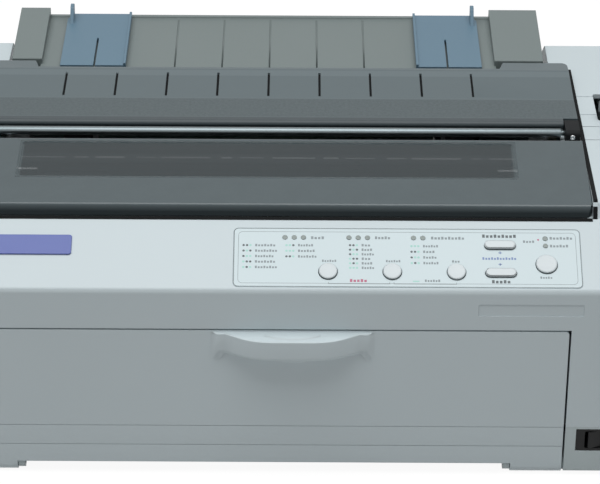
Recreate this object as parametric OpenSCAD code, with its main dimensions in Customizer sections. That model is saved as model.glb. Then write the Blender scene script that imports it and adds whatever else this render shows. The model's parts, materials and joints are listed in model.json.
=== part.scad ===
// Narrow dot matrix printer, built as an assembly of separate pieces.
// x runs to the right, y to the back and z up. The origin is the middle of the
// footprint on the table top. Inside the modules y counts from the front face.

/* [Case] */
// Width of the case without the platen knob
body_w = 404; // [396:1:420]
// Depth of the case from its front face to its back
body_d = 338; // [334:1:350]
// Wall thickness of the case mouldings
wall = 3; // [2:0.5:3.5]
// Height of the flat top beside the covers
top_z = 157; // [156:0.5:158]
// Height of the joint between lower tray and upper case
seam_z = 33.5; // [33:0.5:36]
// Height at which the upright front ends
band_z = 124; // [122:0.5:125]
// Slope of the control strip from level
strip_angle = 28; // [27:0.5:29]
// Length of the control strip up its slope
strip_len = 50; // [49:0.5:51]
// Where the flat top ends and the back starts to fall
slope_y = 262; // [258:1:266]
// Height of the back wall
back_z = 100; // [92:1:104]
// Case to the left of the covers
margin_l = 12; // [11:0.5:14]
// Case to the right of the covers
margin_r = 28.5; // [27:0.5:30]
// Width of the seat that each side of the covers rests on
seat_w = 9; // [8:0.5:10]
// Height of the rubber feet
foot_h = 2.5; // [2:0.5:4]
// Gap around covers and doors
gap = 0.4; // [0.3:0.05:0.6]

/* [Covers] */
// Height of the top of the covers beside the tension roller
cover_z = 162; // [161.7:0.1:162.4]
// Height of the front cover's top at its front edge
cover_front_z = 155; // [154.6:0.1:156]
// Thickness of the covers
cover_t = 2; // [1.6:0.1:2.2]
// Back edge of the front cover
front_cover_end = 115; // [114:0.5:115.5]
// Front edge of the rear cover
rear_cover_start = 139; // [138.8:0.1:140]
// Back edge of the rear cover between its ends
rear_cover_end = 212; // [211:0.5:213]
// How far the ends of the rear cover reach further back
cover_step = 13; // [12:0.5:13.5]
// Spacing of the grooves in the rear cover
groove_pitch = 31.6; // [28:0.1:33]
// Width of each groove
groove_w = 1.4; // [1:0.1:2]
// Height of the front cover's hinge pins
pin_z = 156.5; // [156.3:0.1:156.7]
// Radius of the covers' hinge pins
pin_r = 1.3; // [1.1:0.05:1.4]
// Radius of the tension roller
roller_r = 4.7; // [4.2:0.1:4.8]
// Distance of the tension roller's axis behind the front face
roller_y = 132.3; // [132:0.1:132.6]
// Height of the tension roller's axis
roller_z = 158.5; // [158.2:0.1:158.7]

/* [Front door] */
// Left edge of the door from the case's left side
door_left = 7; // [6:0.5:9]
// Case to the right of the door
door_right = 43; // [42:0.5:50]
// Height of the door's top edge
door_top = 97.7; // [97.3:0.1:98.5]
// Height of the door's bottom edge between its hinge tabs
door_bottom = 8; // [7.5:0.5:9]
// Thickness of the door
door_t = 3.5; // [3:0.1:4]
// Width of the door's left hinge tab
tab_l = 35; // [30:1:40]
// Width of the door's right hinge tab
tab_r = 30; // [26:1:34]
// Height of the door's hinge axis
door_axis_z = 6; // [5.8:0.1:6.4]
// How far the pull stands out of the door
pull_out = 12; // [8:0.5:12]
// Width of the pull where it leaves the door
pull_w = 94; // [80:1:110]
// Height of the pull's top face
pull_z = 97; // [95:0.5:97]
// Height of the pull
pull_h = 32; // [26:1:36]

/* [Paper path] */
// Middle of the paper path from the middle of the case
path_shift = -15; // [-17:0.5:-14]
// Radius of the platen
platen_r = 16.5; // [15.5:0.1:16.6]
// Distance from the left side frame to the platen's rubber
platen_side = 18.4; // [17:0.2:24]
// Distance of the platen's axis behind the front face
platen_y = 146; // [145.9:0.1:146.2]
// Height of the platen's axis
platen_z = 124; // [123.5:0.1:124.5]
// Radius of the platen shaft
shaft_r = 4; // [3.5:0.1:4.2]
// How far the platen knob stands out of the case
knob_out = 10; // [8:0.5:12]
// Radius of the platen knob
knob_r = 15; // [13:0.5:17]
// Space to the right of the paper guide
guide_side = 3.5; // [3:0.5:5]
// Width of the left end block of the guide
block_l = 19; // [17:0.5:21]
// Width of the right end block of the guide
block_r = 31; // [28:0.5:33]
// Back edge of the paper guide
guide_end = 298; // [294:1:300]
// Width of an edge guide
edge_w = 41.5; // [38:0.5:44]

/* [Mechanism] */
// Distance of the left side frame from the case's left side
frame_side_l = 27; // [26:0.5:28]
// Distance of the right side frame from the case's right side
frame_side_r = 47; // [46:0.5:48]
// Thickness of the side frames
frame_t = 1.6; // [1.2:0.1:2]
// Gear module
gear_m = 1; // [0.98:0.01:1]
// Width of the gears
gear_w = 7; // [5:0.5:8]
// Radius of the carriage guide shaft
guide_r = 6; // [5:0.1:6.3]
// Distance of the guide shaft behind the front face
guide_shaft_y = 104; // [103.5:0.1:104.5]
// Height of the guide shaft
guide_shaft_z = 102; // [101.5:0.1:102.5]
// Distance of the print head at rest from the left side frame
head_side = 43.4; // [39:0.2:50]
// Distance of the tractor's drive shaft from the middle of the tractor
tractor_reach = 15; // [14:0.5:16]
// Width of a tractor
tractor_w = 18; // [16:0.5:20]
// Distance of the left tractor from the left side frame
tractor_side_l = 38.4; // [35:0.2:42]
// Distance of the right tractor from the right side frame
tractor_side_r = 50; // [46:0.5:54]

/* [Controls] */
// Diameter of the three small buttons
button_d = 10.6; // [9:0.1:12]
// Diameter of the large button
big_button_d = 12.2; // [10:0.1:13]
// Length of the oval buttons
oval_len = 17.7; // [15:0.1:19]
// Width of the oval buttons
oval_w = 5.6; // [5:0.1:6.5]
// Length of the control panel's sheet
panel_w = 198.5; // [192:0.5:200]
// Height of the control panel's sheet up the slope
panel_h = 40; // [39:0.5:42]
// Diameter of the indicator lights
light_d = 3; // [2:0.1:3.4]
// Clearance around buttons and lights
button_gap = 0.3; // [0.2:0.05:0.4]

/* [Hidden] */
$fn = 48;
eps = 0.01;

front_y = (pull_out - body_d) / 2;
x_left = -(body_w + knob_out) / 2;
x_right = x_left + body_w;
cover_x0 = x_left + margin_l;
cover_x1 = x_right - margin_r;
well_x0 = cover_x0 + seat_w;
well_x1 = cover_x1 - seat_w - 2;
seat_z = top_z - 3;
seat_t = 2.5;
strip_y = strip_len * cos(strip_angle);
strip_z = band_z + strip_len * sin(strip_angle);
lip_y = strip_y + 8;
door_x0 = x_left + door_left;
door_x1 = x_right - door_right;
door_axis_y = door_axis_z - 0.5;
floor_z = foot_h + wall;
path_x = (x_left + x_right) / 2 + path_shift;
frame_l = x_left + frame_side_l;
frame_r = x_right - frame_side_r;
frame_l_in = frame_l + frame_t;
platen_len = 2 * (path_x - frame_l_in - platen_side);
head_x = frame_l_in + head_side;
tractor_l = frame_l_in + tractor_side_l;
tractor_r = frame_r - tractor_side_r;
cheek_y = rear_cover_end + 24;
cheek_z = 153;
cheek_r = 2;
cavity_d = 38;
corner_r = 8;
edge_r = 4;

// ---- outline helpers -------------------------------------------------

// Points of a corner p between a and b, rounded to radius r
function corner(a, p, b, r, n = 5) =
  let (
    u = (a - p) / norm(a - p),
    v = (b - p) / norm(b - p),
    h = acos(u * v) / 2,
    c = p + (u + v) / norm(u + v) * r / sin(h),
    s = p + u * r / tan(h) - c,
    e = p + v * r / tan(h) - c,
    a0 = atan2(s[1], s[0]),
    turn = atan2(s[0] * e[1] - s[1] * e[0], s * e)
  )
  r <= 0 ? [p] : [for (i = [0:n]) c + r * [cos(a0 + turn * i / n), sin(a0 + turn * i / n)]];

// An outline given as [x, y, radius] points, with its corners rounded
function rounded(pts) =
  let (n = len(pts), at = [for (p = pts) [p[0], p[1]]])
  [for (i = [0:n - 1]) each corner(at[(i + n - 1) % n], at[i], at[(i + 1) % n], pts[i][2])];

// A rounded rectangle's outline
function plate_outline(x0, y0, x1, y1, r) =
  rounded([[x0, y0, r], [x1, y0, r], [x1, y1, r], [x0, y1, r]]);

module from_front() {
  translate([0, front_y, 0]) children();
}

// Draws a y-z outline and runs it from x0 to x1
module along_x(x0, x1) {
  translate([x0, 0, 0]) rotate([90, 0, 90]) linear_extrude(x1 - x0) children();
}

// Draws an x-z outline and runs it from y0 to y1
module along_y(y0, y1) {
  translate([0, y1, 0]) rotate([90, 0, 0]) linear_extrude(y1 - y0) children();
}

// Draws an x-y outline and runs it from z0 to z1
module along_z(z0, z1) {
  translate([0, 0, z0]) linear_extrude(z1 - z0) children();
}

// A box from its lowest to its highest corner
module block(lo, hi) {
  translate(lo) cube(hi - lo);
}

// A round bar along x
module bar_x(x0, x1, y, z, r) {
  translate([x0, y, z]) rotate([0, 90, 0]) cylinder(h = x1 - x0, r = r);
}

// A round bar along z
module bar_z(x, y, z0, z1, r) {
  translate([x, y, z0]) cylinder(h = z1 - z0, r = r);
}

// Places a piece on the control strip: x across, s up the slope, height above it
module on_strip(x, s, h = 0) {
  translate([x, 0, band_z]) rotate([strip_angle, 0, 0]) translate([0, s, h]) children();
}

// ---- case ------------------------------------------------------------

// Height of the strip's surface at y, set in by t
function strip_at(y, t) = band_z + y * tan(strip_angle) - t / cos(strip_angle);

back_fall = atan2(top_z - back_z, body_d - slope_y);

// Height of the falling back at y, set in by t
function back_at(y, t) = top_z - (y - slope_y) * tan(back_fall) - t / cos(back_fall);

// Side view of the case, set in by t
function side_view(t, low) =
  let (soft = t == 0 ? 1 : 0)
  rounded([
    [t, low, 0],
    [t, strip_at(t, t), 4 * soft],
    [strip_y + t, strip_at(strip_y + t, t), soft],
    [strip_y + t + 5, top_z - t, 4 * soft],
    [slope_y + (t - t / cos(back_fall)) / tan(back_fall), top_z - t, 6 * soft],
    [body_d - t, back_at(body_d - t, t), 5 * soft],
    [body_d - t, low, 0],
  ]);

// The solid that the case encloses, set in by t
module case_space(t, low, high) {
  intersection() {
    along_x(x_left + t, x_right - t) polygon(side_view(t, low));
    along_z(low - 1, top_z + 1)
      polygon(plate_outline(x_left + t, t, x_right - t, body_d - t, corner_r - t));
    along_y(-1, body_d + 1)
      polygon(rounded([
        [x_left + t, low, 0],
        [x_left + t, high - t, edge_r],
        [x_right - t, high - t, edge_r],
        [x_right - t, low, 0],
      ]));
  }
}

// Seats for the covers, with the ears that carry the front cover's pins
module cover_seats() {
  for (x = [[cover_x0, well_x0], [well_x1, cover_x1]])
    block([x[0], lip_y, seat_z - seat_t], [x[1], rear_cover_end + cover_step + 2, seat_z]);
  for (x = [well_x0 - 4, well_x1 + 1])
    along_x(x, x + 3)
      difference() {
        union() {
          translate([front_axis_y, pin_z]) circle(r = 2.7);
          translate([front_axis_y - 2.7, seat_z - 1]) square([5.4, pin_z - seat_z + 1]);
        }
        translate([front_axis_y, pin_z]) circle(r = pin_r + 0.05);
      }
}

// The walls that drop from the covers' seats and line the paper well
module well_walls() {
  for (x = [cover_x0 - wall, cover_x1])
    block([x, lip_y, 136], [x + wall, rear_cover_end + cover_step, top_z - 1]);
  for (x = [well_x0 - wall, well_x1])
    difference() {
      along_x(x, x + wall)
        polygon([
          [rear_cover_end + cover_step, 138],
          [rear_cover_end + cover_step, top_z - 1],
          [slope_y, top_z - 1],
          [body_d - wall, back_at(body_d - wall, 1)],
          [body_d - wall, 88],
          [ramp_start, 88],
          [ramp_start, 138],
        ]);
      bar_x(x - 1, x + wall + 1, cheek_y, cheek_z, cheek_r + 0.05);
    }
}

vent_pitch = 9;
vent_count = 12;

// The floor of the well, which leads the paper in from the back
ramp_start = 265;

module entry_ramp() {
  along_x(well_x0 - wall, well_x1 + wall)
    polygon([
      [ramp_start, back_z - 10], [ramp_start + 12, back_z - wall],
      [body_d - wall + eps, back_z - wall], [body_d - wall + eps, back_z],
      [ramp_start + 11, back_z], [ramp_start, back_z - 7],
    ]);
}

module upper_case() {
  color("#C9D2D3") from_front() {
    difference() {
      union() {
        difference() {
          case_space(0, seam_z, top_z);
          case_space(wall, seam_z - 1, top_z);
        }
        // the ledge behind the control strip that the cover's lip stands on
        block([cover_x0, strip_y, strip_z - wall], [cover_x1, lip_y, strip_z]);
        block([cover_x0 - wall, strip_y + 3, strip_z - wall], [cover_x0, lip_y, top_z - 1]);
        block([cover_x1, strip_y + 3, strip_z - wall], [cover_x1 + wall, lip_y, top_z - 1]);
      }
      // the opening for the covers
      block([cover_x0, strip_y, strip_z], [cover_x1, lip_y, top_z + 5]);
      block([cover_x0, lip_y - eps, 136], [cover_x1, rear_cover_end + cover_step, top_z + 5]);
      // the paper well behind them, open to the back
      block([well_x0, rear_cover_end, back_z], [well_x1, body_d + 1, top_z + 5]);
      // the front door
      block([door_x0 - 1.2, -1, seam_z - 1], [door_x1 + 1.2, wall + 1, door_top + 1]);
      // the slot of the release lever
      along_z(top_z - wall - 1, top_z + 1)
        polygon(plate_outline(lever_x - 4.5, lever_slot[0], lever_x + 4.5, lever_slot[1], 2));
      // moulded lines across the margin beside the covers
      for (g = [[186.1, lever_x - 4], [160.8, lever_x - 4], [144.3, x_right - 6], [126.4, x_right - 6]])
        block([cover_x1 - 1, g[0] - 0.3, top_z - 0.4], [g[1], g[0] + 0.3, top_z + 1]);
      // the bores of the paper guide's pivots
      for (x = [well_x0 - wall, well_x1])
        bar_x(x - 1, x + wall + 1, cheek_y, cheek_z, cheek_r + 0.05);
      // the hole for the knob's hub
      bar_x(x_right - wall - 1, x_right + 1, platen_y, platen_z, knob_hub_r + 1);
      // the recess of the control panel, the buttons and the lights
      on_strip(0, 0, -0.6)
        linear_extrude(3) polygon(plate_outline(panel_x0, panel_s0, panel_x0 + panel_w,
                                                panel_s0 + panel_h, 3));
      on_strip(0, 0, -wall - 2) linear_extrude(wall + 4) button_holes(button_gap);
      // the shallow bare recess on the front
      along_y(-1, 0.4)
        polygon(plate_outline(x_right - 95.5, 108, x_right - 35.5, 115.5, 1));
      // the openings of the inlet and the two ports in the back wall
      port_holes();
      // cooling slots in the left side
      for (i = [0:vent_count - 1])
        block([x_left - 1, 130 + i * vent_pitch, 60], [x_left + wall + 1, 133 + i * vent_pitch, 84]);
    }
    cover_seats();
    difference() {
      well_walls();
      block([well_x1 - 1, platen_y - 10, 80], [cover_x1 + wall + 1, platen_y + 10, 135]);
    }
    entry_ramp();
    // the boss that carries the release lever
    bar_x(lever_x - 3, x_right - wall + eps, lever_y, lever_z, 3);
    bar_x(lever_x + 3, x_right - wall + eps, lever_y, lever_z, 6);
    // posts that hold the panel board
    for (x = [panel_x0 + 8, panel_x0 + panel_w - 8])
      on_strip(x, 23, -board_drop) cylinder(h = board_drop - wall + eps, r = 2.5);
  }
}

tray_vents = 9;

module base_tray() {
  color("#B9C2C3") from_front() {
    difference() {
      union() {
        difference() {
          intersection() {
            along_z(foot_h, seam_z)
              polygon(plate_outline(x_left, 0, x_right, body_d, corner_r));
            along_x(x_left, x_right)
              polygon(rounded([[0, foot_h, 1.5], [body_d, foot_h, 6],
                               [body_d, seam_z, 0], [0, seam_z, 0]]));
          }
          along_z(floor_z, seam_z + 1)
            polygon(plate_outline(x_left + wall, wall, x_right - wall, body_d - wall,
                                  corner_r - wall));
          // the door's place
          block([door_x0 - 1.2, -1, -1], [door_x1 + 1.2, wall + 1, seam_z + 1]);
          block([door_x0 - 1.2, -1, -1], [door_x1 + 1.2, 9.5, floor_z + 1]);
          for (x = [[door_x0, door_x0 + tab_l], [door_x1 - tab_r, door_x1]])
            block([x[0] - 1.2, -1, -1], [x[1] + 1.2, 13, floor_z + 1]);
        }
        door_ears();
        // posts for the two boards
        for (p = board_posts)
          bar_z(p[0], p[1], floor_z - eps, p[2], 3.5);
        // a low wall that stiffens the floor behind the door
        block([x_left + wall, cavity_d + 8, floor_z - eps], [x_right - wall, cavity_d + 10, 20]);
      }
      for (x = ear_x)
        bar_x(x - eps, x + 4 + eps, door_axis_y, door_axis_z, 2.05);
      // the switch's recess
      block([bezel_x0, -1, bezel_z0], [bezel_x1, wall + 1, bezel_z1]);
      // bores for the feet's studs and the screws
      for (p = foot_spots)
        bar_z(p[0], p[1], foot_h - 1, floor_z + 1, 3);
      for (p = screw_spots)
        bar_z(p[0], p[1], foot_h - 1, foot_h + 2, 4.5);
      // cooling slots under the boards
      for (i = [0:tray_vents - 1])
        block([main_x[0] + 22 + i * 15, 215, foot_h - 1], [main_x[0] + 27 + i * 15, 265, floor_z + 1]);
    }
  }
}

// The tray's ears that hold the door's pins
module door_ears() {
  for (x = ear_x)
    along_x(x, x + 4) {
      translate([door_axis_y, door_axis_z]) circle(r = 4.5);
      translate([door_axis_y, foot_h]) square([9, wall]);
    }
}
ear_x = [door_x0 - 4.3, door_x0 + tab_l + 0.3, door_x1 - tab_r - 4.3, door_x1 + 0.3];

foot_spots = [
  [x_left + 30, 40], [x_right - 30, 40], [x_left + 30, body_d - 40], [x_right - 30, body_d - 40],
];
screw_spots = [
  [x_left + 20, 80], [x_right - 20, 80], [x_left + 20, body_d - 70], [x_right - 20, body_d - 70],
];
foot_r = 9;

module rubber_feet() {
  color("#2B2D2F") from_front()
    for (p = foot_spots) {
      difference() {
        bar_z(p[0], p[1], 0, foot_h, foot_r);
        bar_z(p[0], p[1], -1, 1, foot_r - 4);
      }
      bar_z(p[0], p[1], foot_h - eps, floor_z - 0.5, 3);
    }
}

module case_screws() {
  color("#8D9296") from_front()
    for (p = screw_spots)
      difference() {
        bar_z(p[0], p[1], foot_h + 0.4, foot_h + 2, 3.6);
        for (a = [0, 90])
          translate([p[0], p[1], foot_h]) rotate([0, 0, a])
            block([-2.4, -0.5, 0], [2.4, 0.5, 1.2]);
      }
}

module badge_plate() {
  color("#5B68B0") from_front()
    on_strip(0, 0, eps)
      linear_extrude(1) polygon(plate_outline(badge_x0, 23.5, badge_x0 + 52, 36.7, 1.5));
}
badge_x0 = x_left + 24.5;

// ---- control strip ---------------------------------------------------

panel_x1 = x_right - 36.5;
panel_x0 = panel_x1 - panel_w;
panel_s0 = 2.5;
board_drop = 9;
travel = 1;
button_s = 13;
button_spots = [for (x = [144.5, 108, 71.5]) [panel_x1 - x, button_s]];
oval_spots = [for (s = [31.2, 12.5]) [panel_x1 - 46.2, s]];
big_spot = [panel_x1 - 20.1, 18.4];
light_spots = [
  for (x = [169.1, 163.8, 158.5, 132.5, 127.2, 121.9, 95.5, 90.2, 20.2]) [panel_x1 - x, 36],
  [panel_x1 - 20.2, 31],
];

module oval(len, w) {
  for (x = [-1, 1]) translate([x * (len - w) / 2, 0]) circle(d = w);
  square([len - w, w], center = true);
}

// Every hole through the control strip, wider than its button by g
module button_holes(g) {
  for (p = button_spots) translate(p) circle(d = button_d + 2 * g);
  for (p = oval_spots) translate(p) oval(oval_len + 2 * g, oval_w + 2 * g);
  translate(big_spot) circle(d = big_button_d + 2 * g);
  for (p = light_spots) translate(p) circle(d = light_d);
}

module panel_sheet() {
  color("#D9DFE0") from_front()
    on_strip(0, 0, -0.6 + eps)
      linear_extrude(0.8)
        difference() {
          polygon(plate_outline(panel_x0 + 0.2, panel_s0 + 0.2, panel_x0 + panel_w - 0.2,
                                panel_s0 + panel_h - 0.2, 2.8));
          button_holes(button_gap);
        }
}

module panel_lights() {
  color("#D8E8D0") from_front()
    for (p = light_spots)
      on_strip(p[0], p[1], 0.5 - board_drop) cylinder(h = board_drop, r = light_d / 2 - 0.02);
}

module panel_board() {
  color("#3C6B45") from_front()
    on_strip(0, 0, -board_drop - 1.6) {
      linear_extrude(1.6)
        polygon(plate_outline(panel_x0 + 2, 6, panel_x0 + panel_w - 2, 39.5, 1));
      for (p = concat(button_spots, oval_spots, [big_spot]))
        translate([p[0] - 3, p[1] - 2.4, 1.6]) cube([6, 4.8, board_drop - wall - 1.8 - travel - 0.1]);
      for (p = light_spots)
        translate([p[0] - 1.4, p[1] - 1.4, 1.6]) cube([2.8, 2.8, 0.45]);
    }
}

// A key with a crowned round cap, its shaft and a flange under the case wall
module round_button(p, d) {
  from_front() on_strip(p[0], p[1], 0) {
    rotate_extrude()
      polygon([
        [0, -wall - 1.8], [d / 2 + 1, -wall - 1.8], [d / 2 + 1, -wall - 0.5],
        [d / 2, -wall - 0.5], [d / 2, 1.1], [d / 2 - 0.3, 1.5], [d / 2 - 1, 1.7],
        [d / 4, 1.45], [0, 1.4],
      ]);
  }
}

module button_1() { color("#C5CED0") round_button(button_spots[0], button_d); }
module button_2() { color("#C5CED0") round_button(button_spots[1], button_d); }
module button_3() { color("#C5CED0") round_button(button_spots[2], button_d); }
module large_button() { color("#C5CED0") round_button(big_spot, big_button_d); }

module oval_button(p) {
  from_front() on_strip(p[0], p[1], 0) {
    translate([0, 0, -wall - 1.8]) linear_extrude(wall + 3.2) oval(oval_len, oval_w);
    translate([0, 0, -wall - 1.8]) linear_extrude(1.3) oval(oval_len + 2, oval_w + 2);
    translate([0, 0, 1.4 - eps]) linear_extrude(0.4) oval(oval_len - 1, oval_w - 1);
  }
}

module oval_button_1() { color("#C5CED0") oval_button(oval_spots[0]); }
module oval_button_2() { color("#C5CED0") oval_button(oval_spots[1]); }

// ---- power switch ----------------------------------------------------

bezel_x0 = x_right - 35.5;
bezel_x1 = bezel_x0 + 30;
bezel_z0 = 17;
bezel_z1 = 32;
rocker_x = bezel_x0 + 16.5;
rocker_half = 10;
rocker_y = 6.5;
rocker_tilt = 7;

module switch_bezel() {
  color("#1E2022") from_front()
    difference() {
      along_y(0.3, 16)
        polygon(plate_outline(bezel_x0 + 0.1, bezel_z0 + 0.1, bezel_x1 - 0.1, bezel_z1 - 0.1, 2));
      along_y(-1, 14.5)
        polygon(plate_outline(rocker_x - rocker_half - 1.2, bezel_z0 + 1.7,
                              rocker_x + rocker_half + 1.2, bezel_z1 - 1.7, 1));
      bar_z(rocker_x, rocker_y, bezel_z0 + 0.5, bezel_z1 - 0.5, 1.25);
    }
}

module power_rocker() {
  color("#2A2C2E") from_front() {
    translate([rocker_x, rocker_y, 0]) rotate([0, 0, rocker_tilt])
      along_z(bezel_z0 + 2, bezel_z1 - 2)
        polygon([
          [-rocker_half, -5.2], [-rocker_half + 1, -5.9], [0, -4], [rocker_half - 1, -5.9],
          [rocker_half, -5.2], [rocker_half, -2], [3, 5], [-3, 5], [-rocker_half, -2],
        ]);
    bar_z(rocker_x, rocker_y, bezel_z0 + 0.7, bezel_z1 - 0.7, 1.2);
  }
}

// ---- front door and the paper path behind it -------------------------

module door_pull() {
  mid = (door_x0 + door_x1) / 2 + 19;
  big = (pull_w * pull_w / 4 + pull_out * pull_out) / (2 * pull_out);
  intersection() {
    translate([mid, big - pull_out, pull_z - pull_h])
      rotate_extrude($fn = 180)
        polygon(concat(
          [[0, 0]],
          [for (i = [0:8]) [big - pull_out * (1 + cos(22.5 * i)) / 2, pull_h / 2 * i / 8]],
          [[big, pull_h - 1], [big - 1, pull_h], [0, pull_h]]));
    block([mid - pull_w, -pull_out - 1, 0], [mid + pull_w, 0.5, pull_z + 1]);
  }
}

module front_door() {
  color("#B9C2C3") from_front() {
    difference() {
      union() {
        along_y(0, door_t)
          polygon(rounded([
            [door_x0, door_axis_z, 0], [door_x0 + tab_l, door_axis_z, 0],
            [door_x0 + tab_l, door_bottom, 0], [door_x1 - tab_r, door_bottom, 0],
            [door_x1 - tab_r, door_axis_z, 0], [door_x1, door_axis_z, 0],
            [door_x1, door_top, 2], [door_x0, door_top, 2],
          ]));
        // rolled hinge tabs
        for (x = [[door_x0, door_x0 + tab_l], [door_x1 - tab_r, door_x1]])
          bar_x(x[0], x[1], door_axis_y, door_axis_z, door_axis_y);
        // stiffening flange along the top and down both ends
        block([door_x0 + 2, door_t - eps, door_top - 4], [door_x1 - 2, door_t + 4, door_top - 1.5]);
        for (x = [door_x0 + 2, door_x1 - 4.5])
          block([x, door_t - eps, 16], [x + 2.5, door_t + 4, door_top - 4 + eps]);
        door_pull();
      }
      // room for the tray's ears
      for (x = [ear_x[1], ear_x[2]])
        bar_x(x - 0.3, x + 4.3, door_axis_y, door_axis_z, 4.9);
      // two moulded lines across the lower front
      for (z = [20.3, seam_z])
        block([door_x0 - 1, -1, z - 0.4], [door_x1 + 1, 0.3, z]);
      // finger groove in the pull's top
      translate([(door_x0 + door_x1) / 2 + 19, 30 - pull_out + 2.5, pull_z - 4])
        intersection() {
          difference() {
            cylinder(h = 5, r = 30);
            translate([0, 0, -1]) cylinder(h = 7, r = 28.2);
          }
          block([-16, -31, 0], [16, -20, 6]);
        }
    }
    for (x = [door_x0 - 3.5, door_x1 - tab_r - 3.5])
      bar_x(x, x + 5, door_axis_y, door_axis_z, 2);
    for (x = [door_x0 + tab_l - 1.5, door_x1 - 1.5])
      bar_x(x, x + 5, door_axis_y, door_axis_z, 2);
  }
}

chute_ribs = 9;

module front_chute() {
  color("#A9B2B3") from_front() {
    along_x(door_x0 + 1, door_x1 - 1)
      polygon([
        [cavity_d + 4, floor_z], [cavity_d + 6.5, floor_z], [cavity_d + 6.5, 88],
        [cavity_d + 16, 112], [cavity_d + 13.5, 112], [cavity_d + 4, 88.5],
      ]);
    for (i = [0:chute_ribs - 1])
      along_x(path_x + (i - (chute_ribs - 1) / 2) * groove_pitch - 1,
              path_x + (i - (chute_ribs - 1) / 2) * groove_pitch + 1)
        polygon([
          [cavity_d + 4 + eps, floor_z], [cavity_d + 1, floor_z], [cavity_d + 1, 84],
          [cavity_d + 4 + eps, 88],
        ]);
  }
}

// ---- covers and tension unit -----------------------------------------

front_axis_y = front_cover_end - 1.5;
bead_r = 2.5;
rear_axis_y = rear_cover_start + bead_r;
rear_axis_z = cover_z - bead_r;
window = [[cover_x0 + 30, 74.5], [cover_x1 - 42.5, 111.5]];

// Height of the front cover's sloping top at y
function front_top(y) =
  cover_front_z + (cover_z - cover_front_z) * (y - lip_front) / (front_cover_end - lip_front);
lip_front = strip_y + gap + 1.5;

module cover_pins() {
  for (x = [well_x0 - 0.8, well_x1 - 1.2])
    along_x(x, x + 2) {
      translate([front_axis_y, pin_z]) circle(r = 2.1);
      translate([front_axis_y - 2.1, pin_z]) square([4.2, cover_z - cover_t - pin_z + eps]);
    }
  bar_x(well_x0 - 4, well_x0 - 0.8 + eps, front_axis_y, pin_z, pin_r);
  bar_x(well_x1 + 0.8 - eps, well_x1 + 4, front_axis_y, pin_z, pin_r);
}

module printer_cover() {
  color("#4D5759", 0.8) from_front() {
    difference() {
      intersection() {
        along_x(cover_x0 + gap, cover_x1 - gap)
          polygon(rounded([
            [strip_y + gap, strip_z + 0.3, 0], [lip_front, cover_front_z, 2],
            [front_cover_end, cover_z, 0], [front_cover_end, cover_z - cover_t, 0],
            [front_axis_y - 3, front_top(front_axis_y - 3) - cover_t, 0],
            [front_axis_y - 3, seat_z + 0.3, 0],
            [lip_y - 0.5, seat_z + 0.3, 0], [lip_y - 0.5, strip_z + 0.3, 0],
          ]));
        along_z(strip_z - 1, cover_z + 1)
          polygon(rounded([
            [cover_x0 + gap, strip_y, 5], [cover_x1 - gap, strip_y, 5],
            [cover_x1 - gap, front_cover_end + 1, 0], [cover_x0 + gap, front_cover_end + 1, 0],
          ]));
      }
      along_x(cover_x0 + gap + cover_t, cover_x1 - gap - cover_t)
        polygon([
          [strip_y + gap + cover_t, strip_z - 5],
          [lip_front + cover_t, front_top(lip_front + cover_t) - cover_t],
          [front_cover_end + 1, front_top(front_cover_end + 1) - cover_t],
          [front_cover_end + 1, strip_z - 5],
        ]);
      // the sunk clear window
      intersection() {
        along_x(window[0][0], window[1][0])
          polygon([
            [window[0][1], front_top(window[0][1]) - 0.4],
            [window[1][1], front_top(window[1][1]) - 0.4],
            [window[1][1], cover_z + 1], [window[0][1], cover_z + 1],
          ]);
        along_z(seat_z, cover_z + 2)
          polygon(plate_outline(window[0][0], window[0][1], window[1][0], window[1][1], 3));
      }
    }
    cover_pins();
  }
}

// The rear cover's ribbed field rises towards the back from here
ramp_y = 172;
ramp_rise = 2;
bead_x0 = well_x0 - 1.7;
bead_x1 = well_x1 + 1.7;

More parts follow.
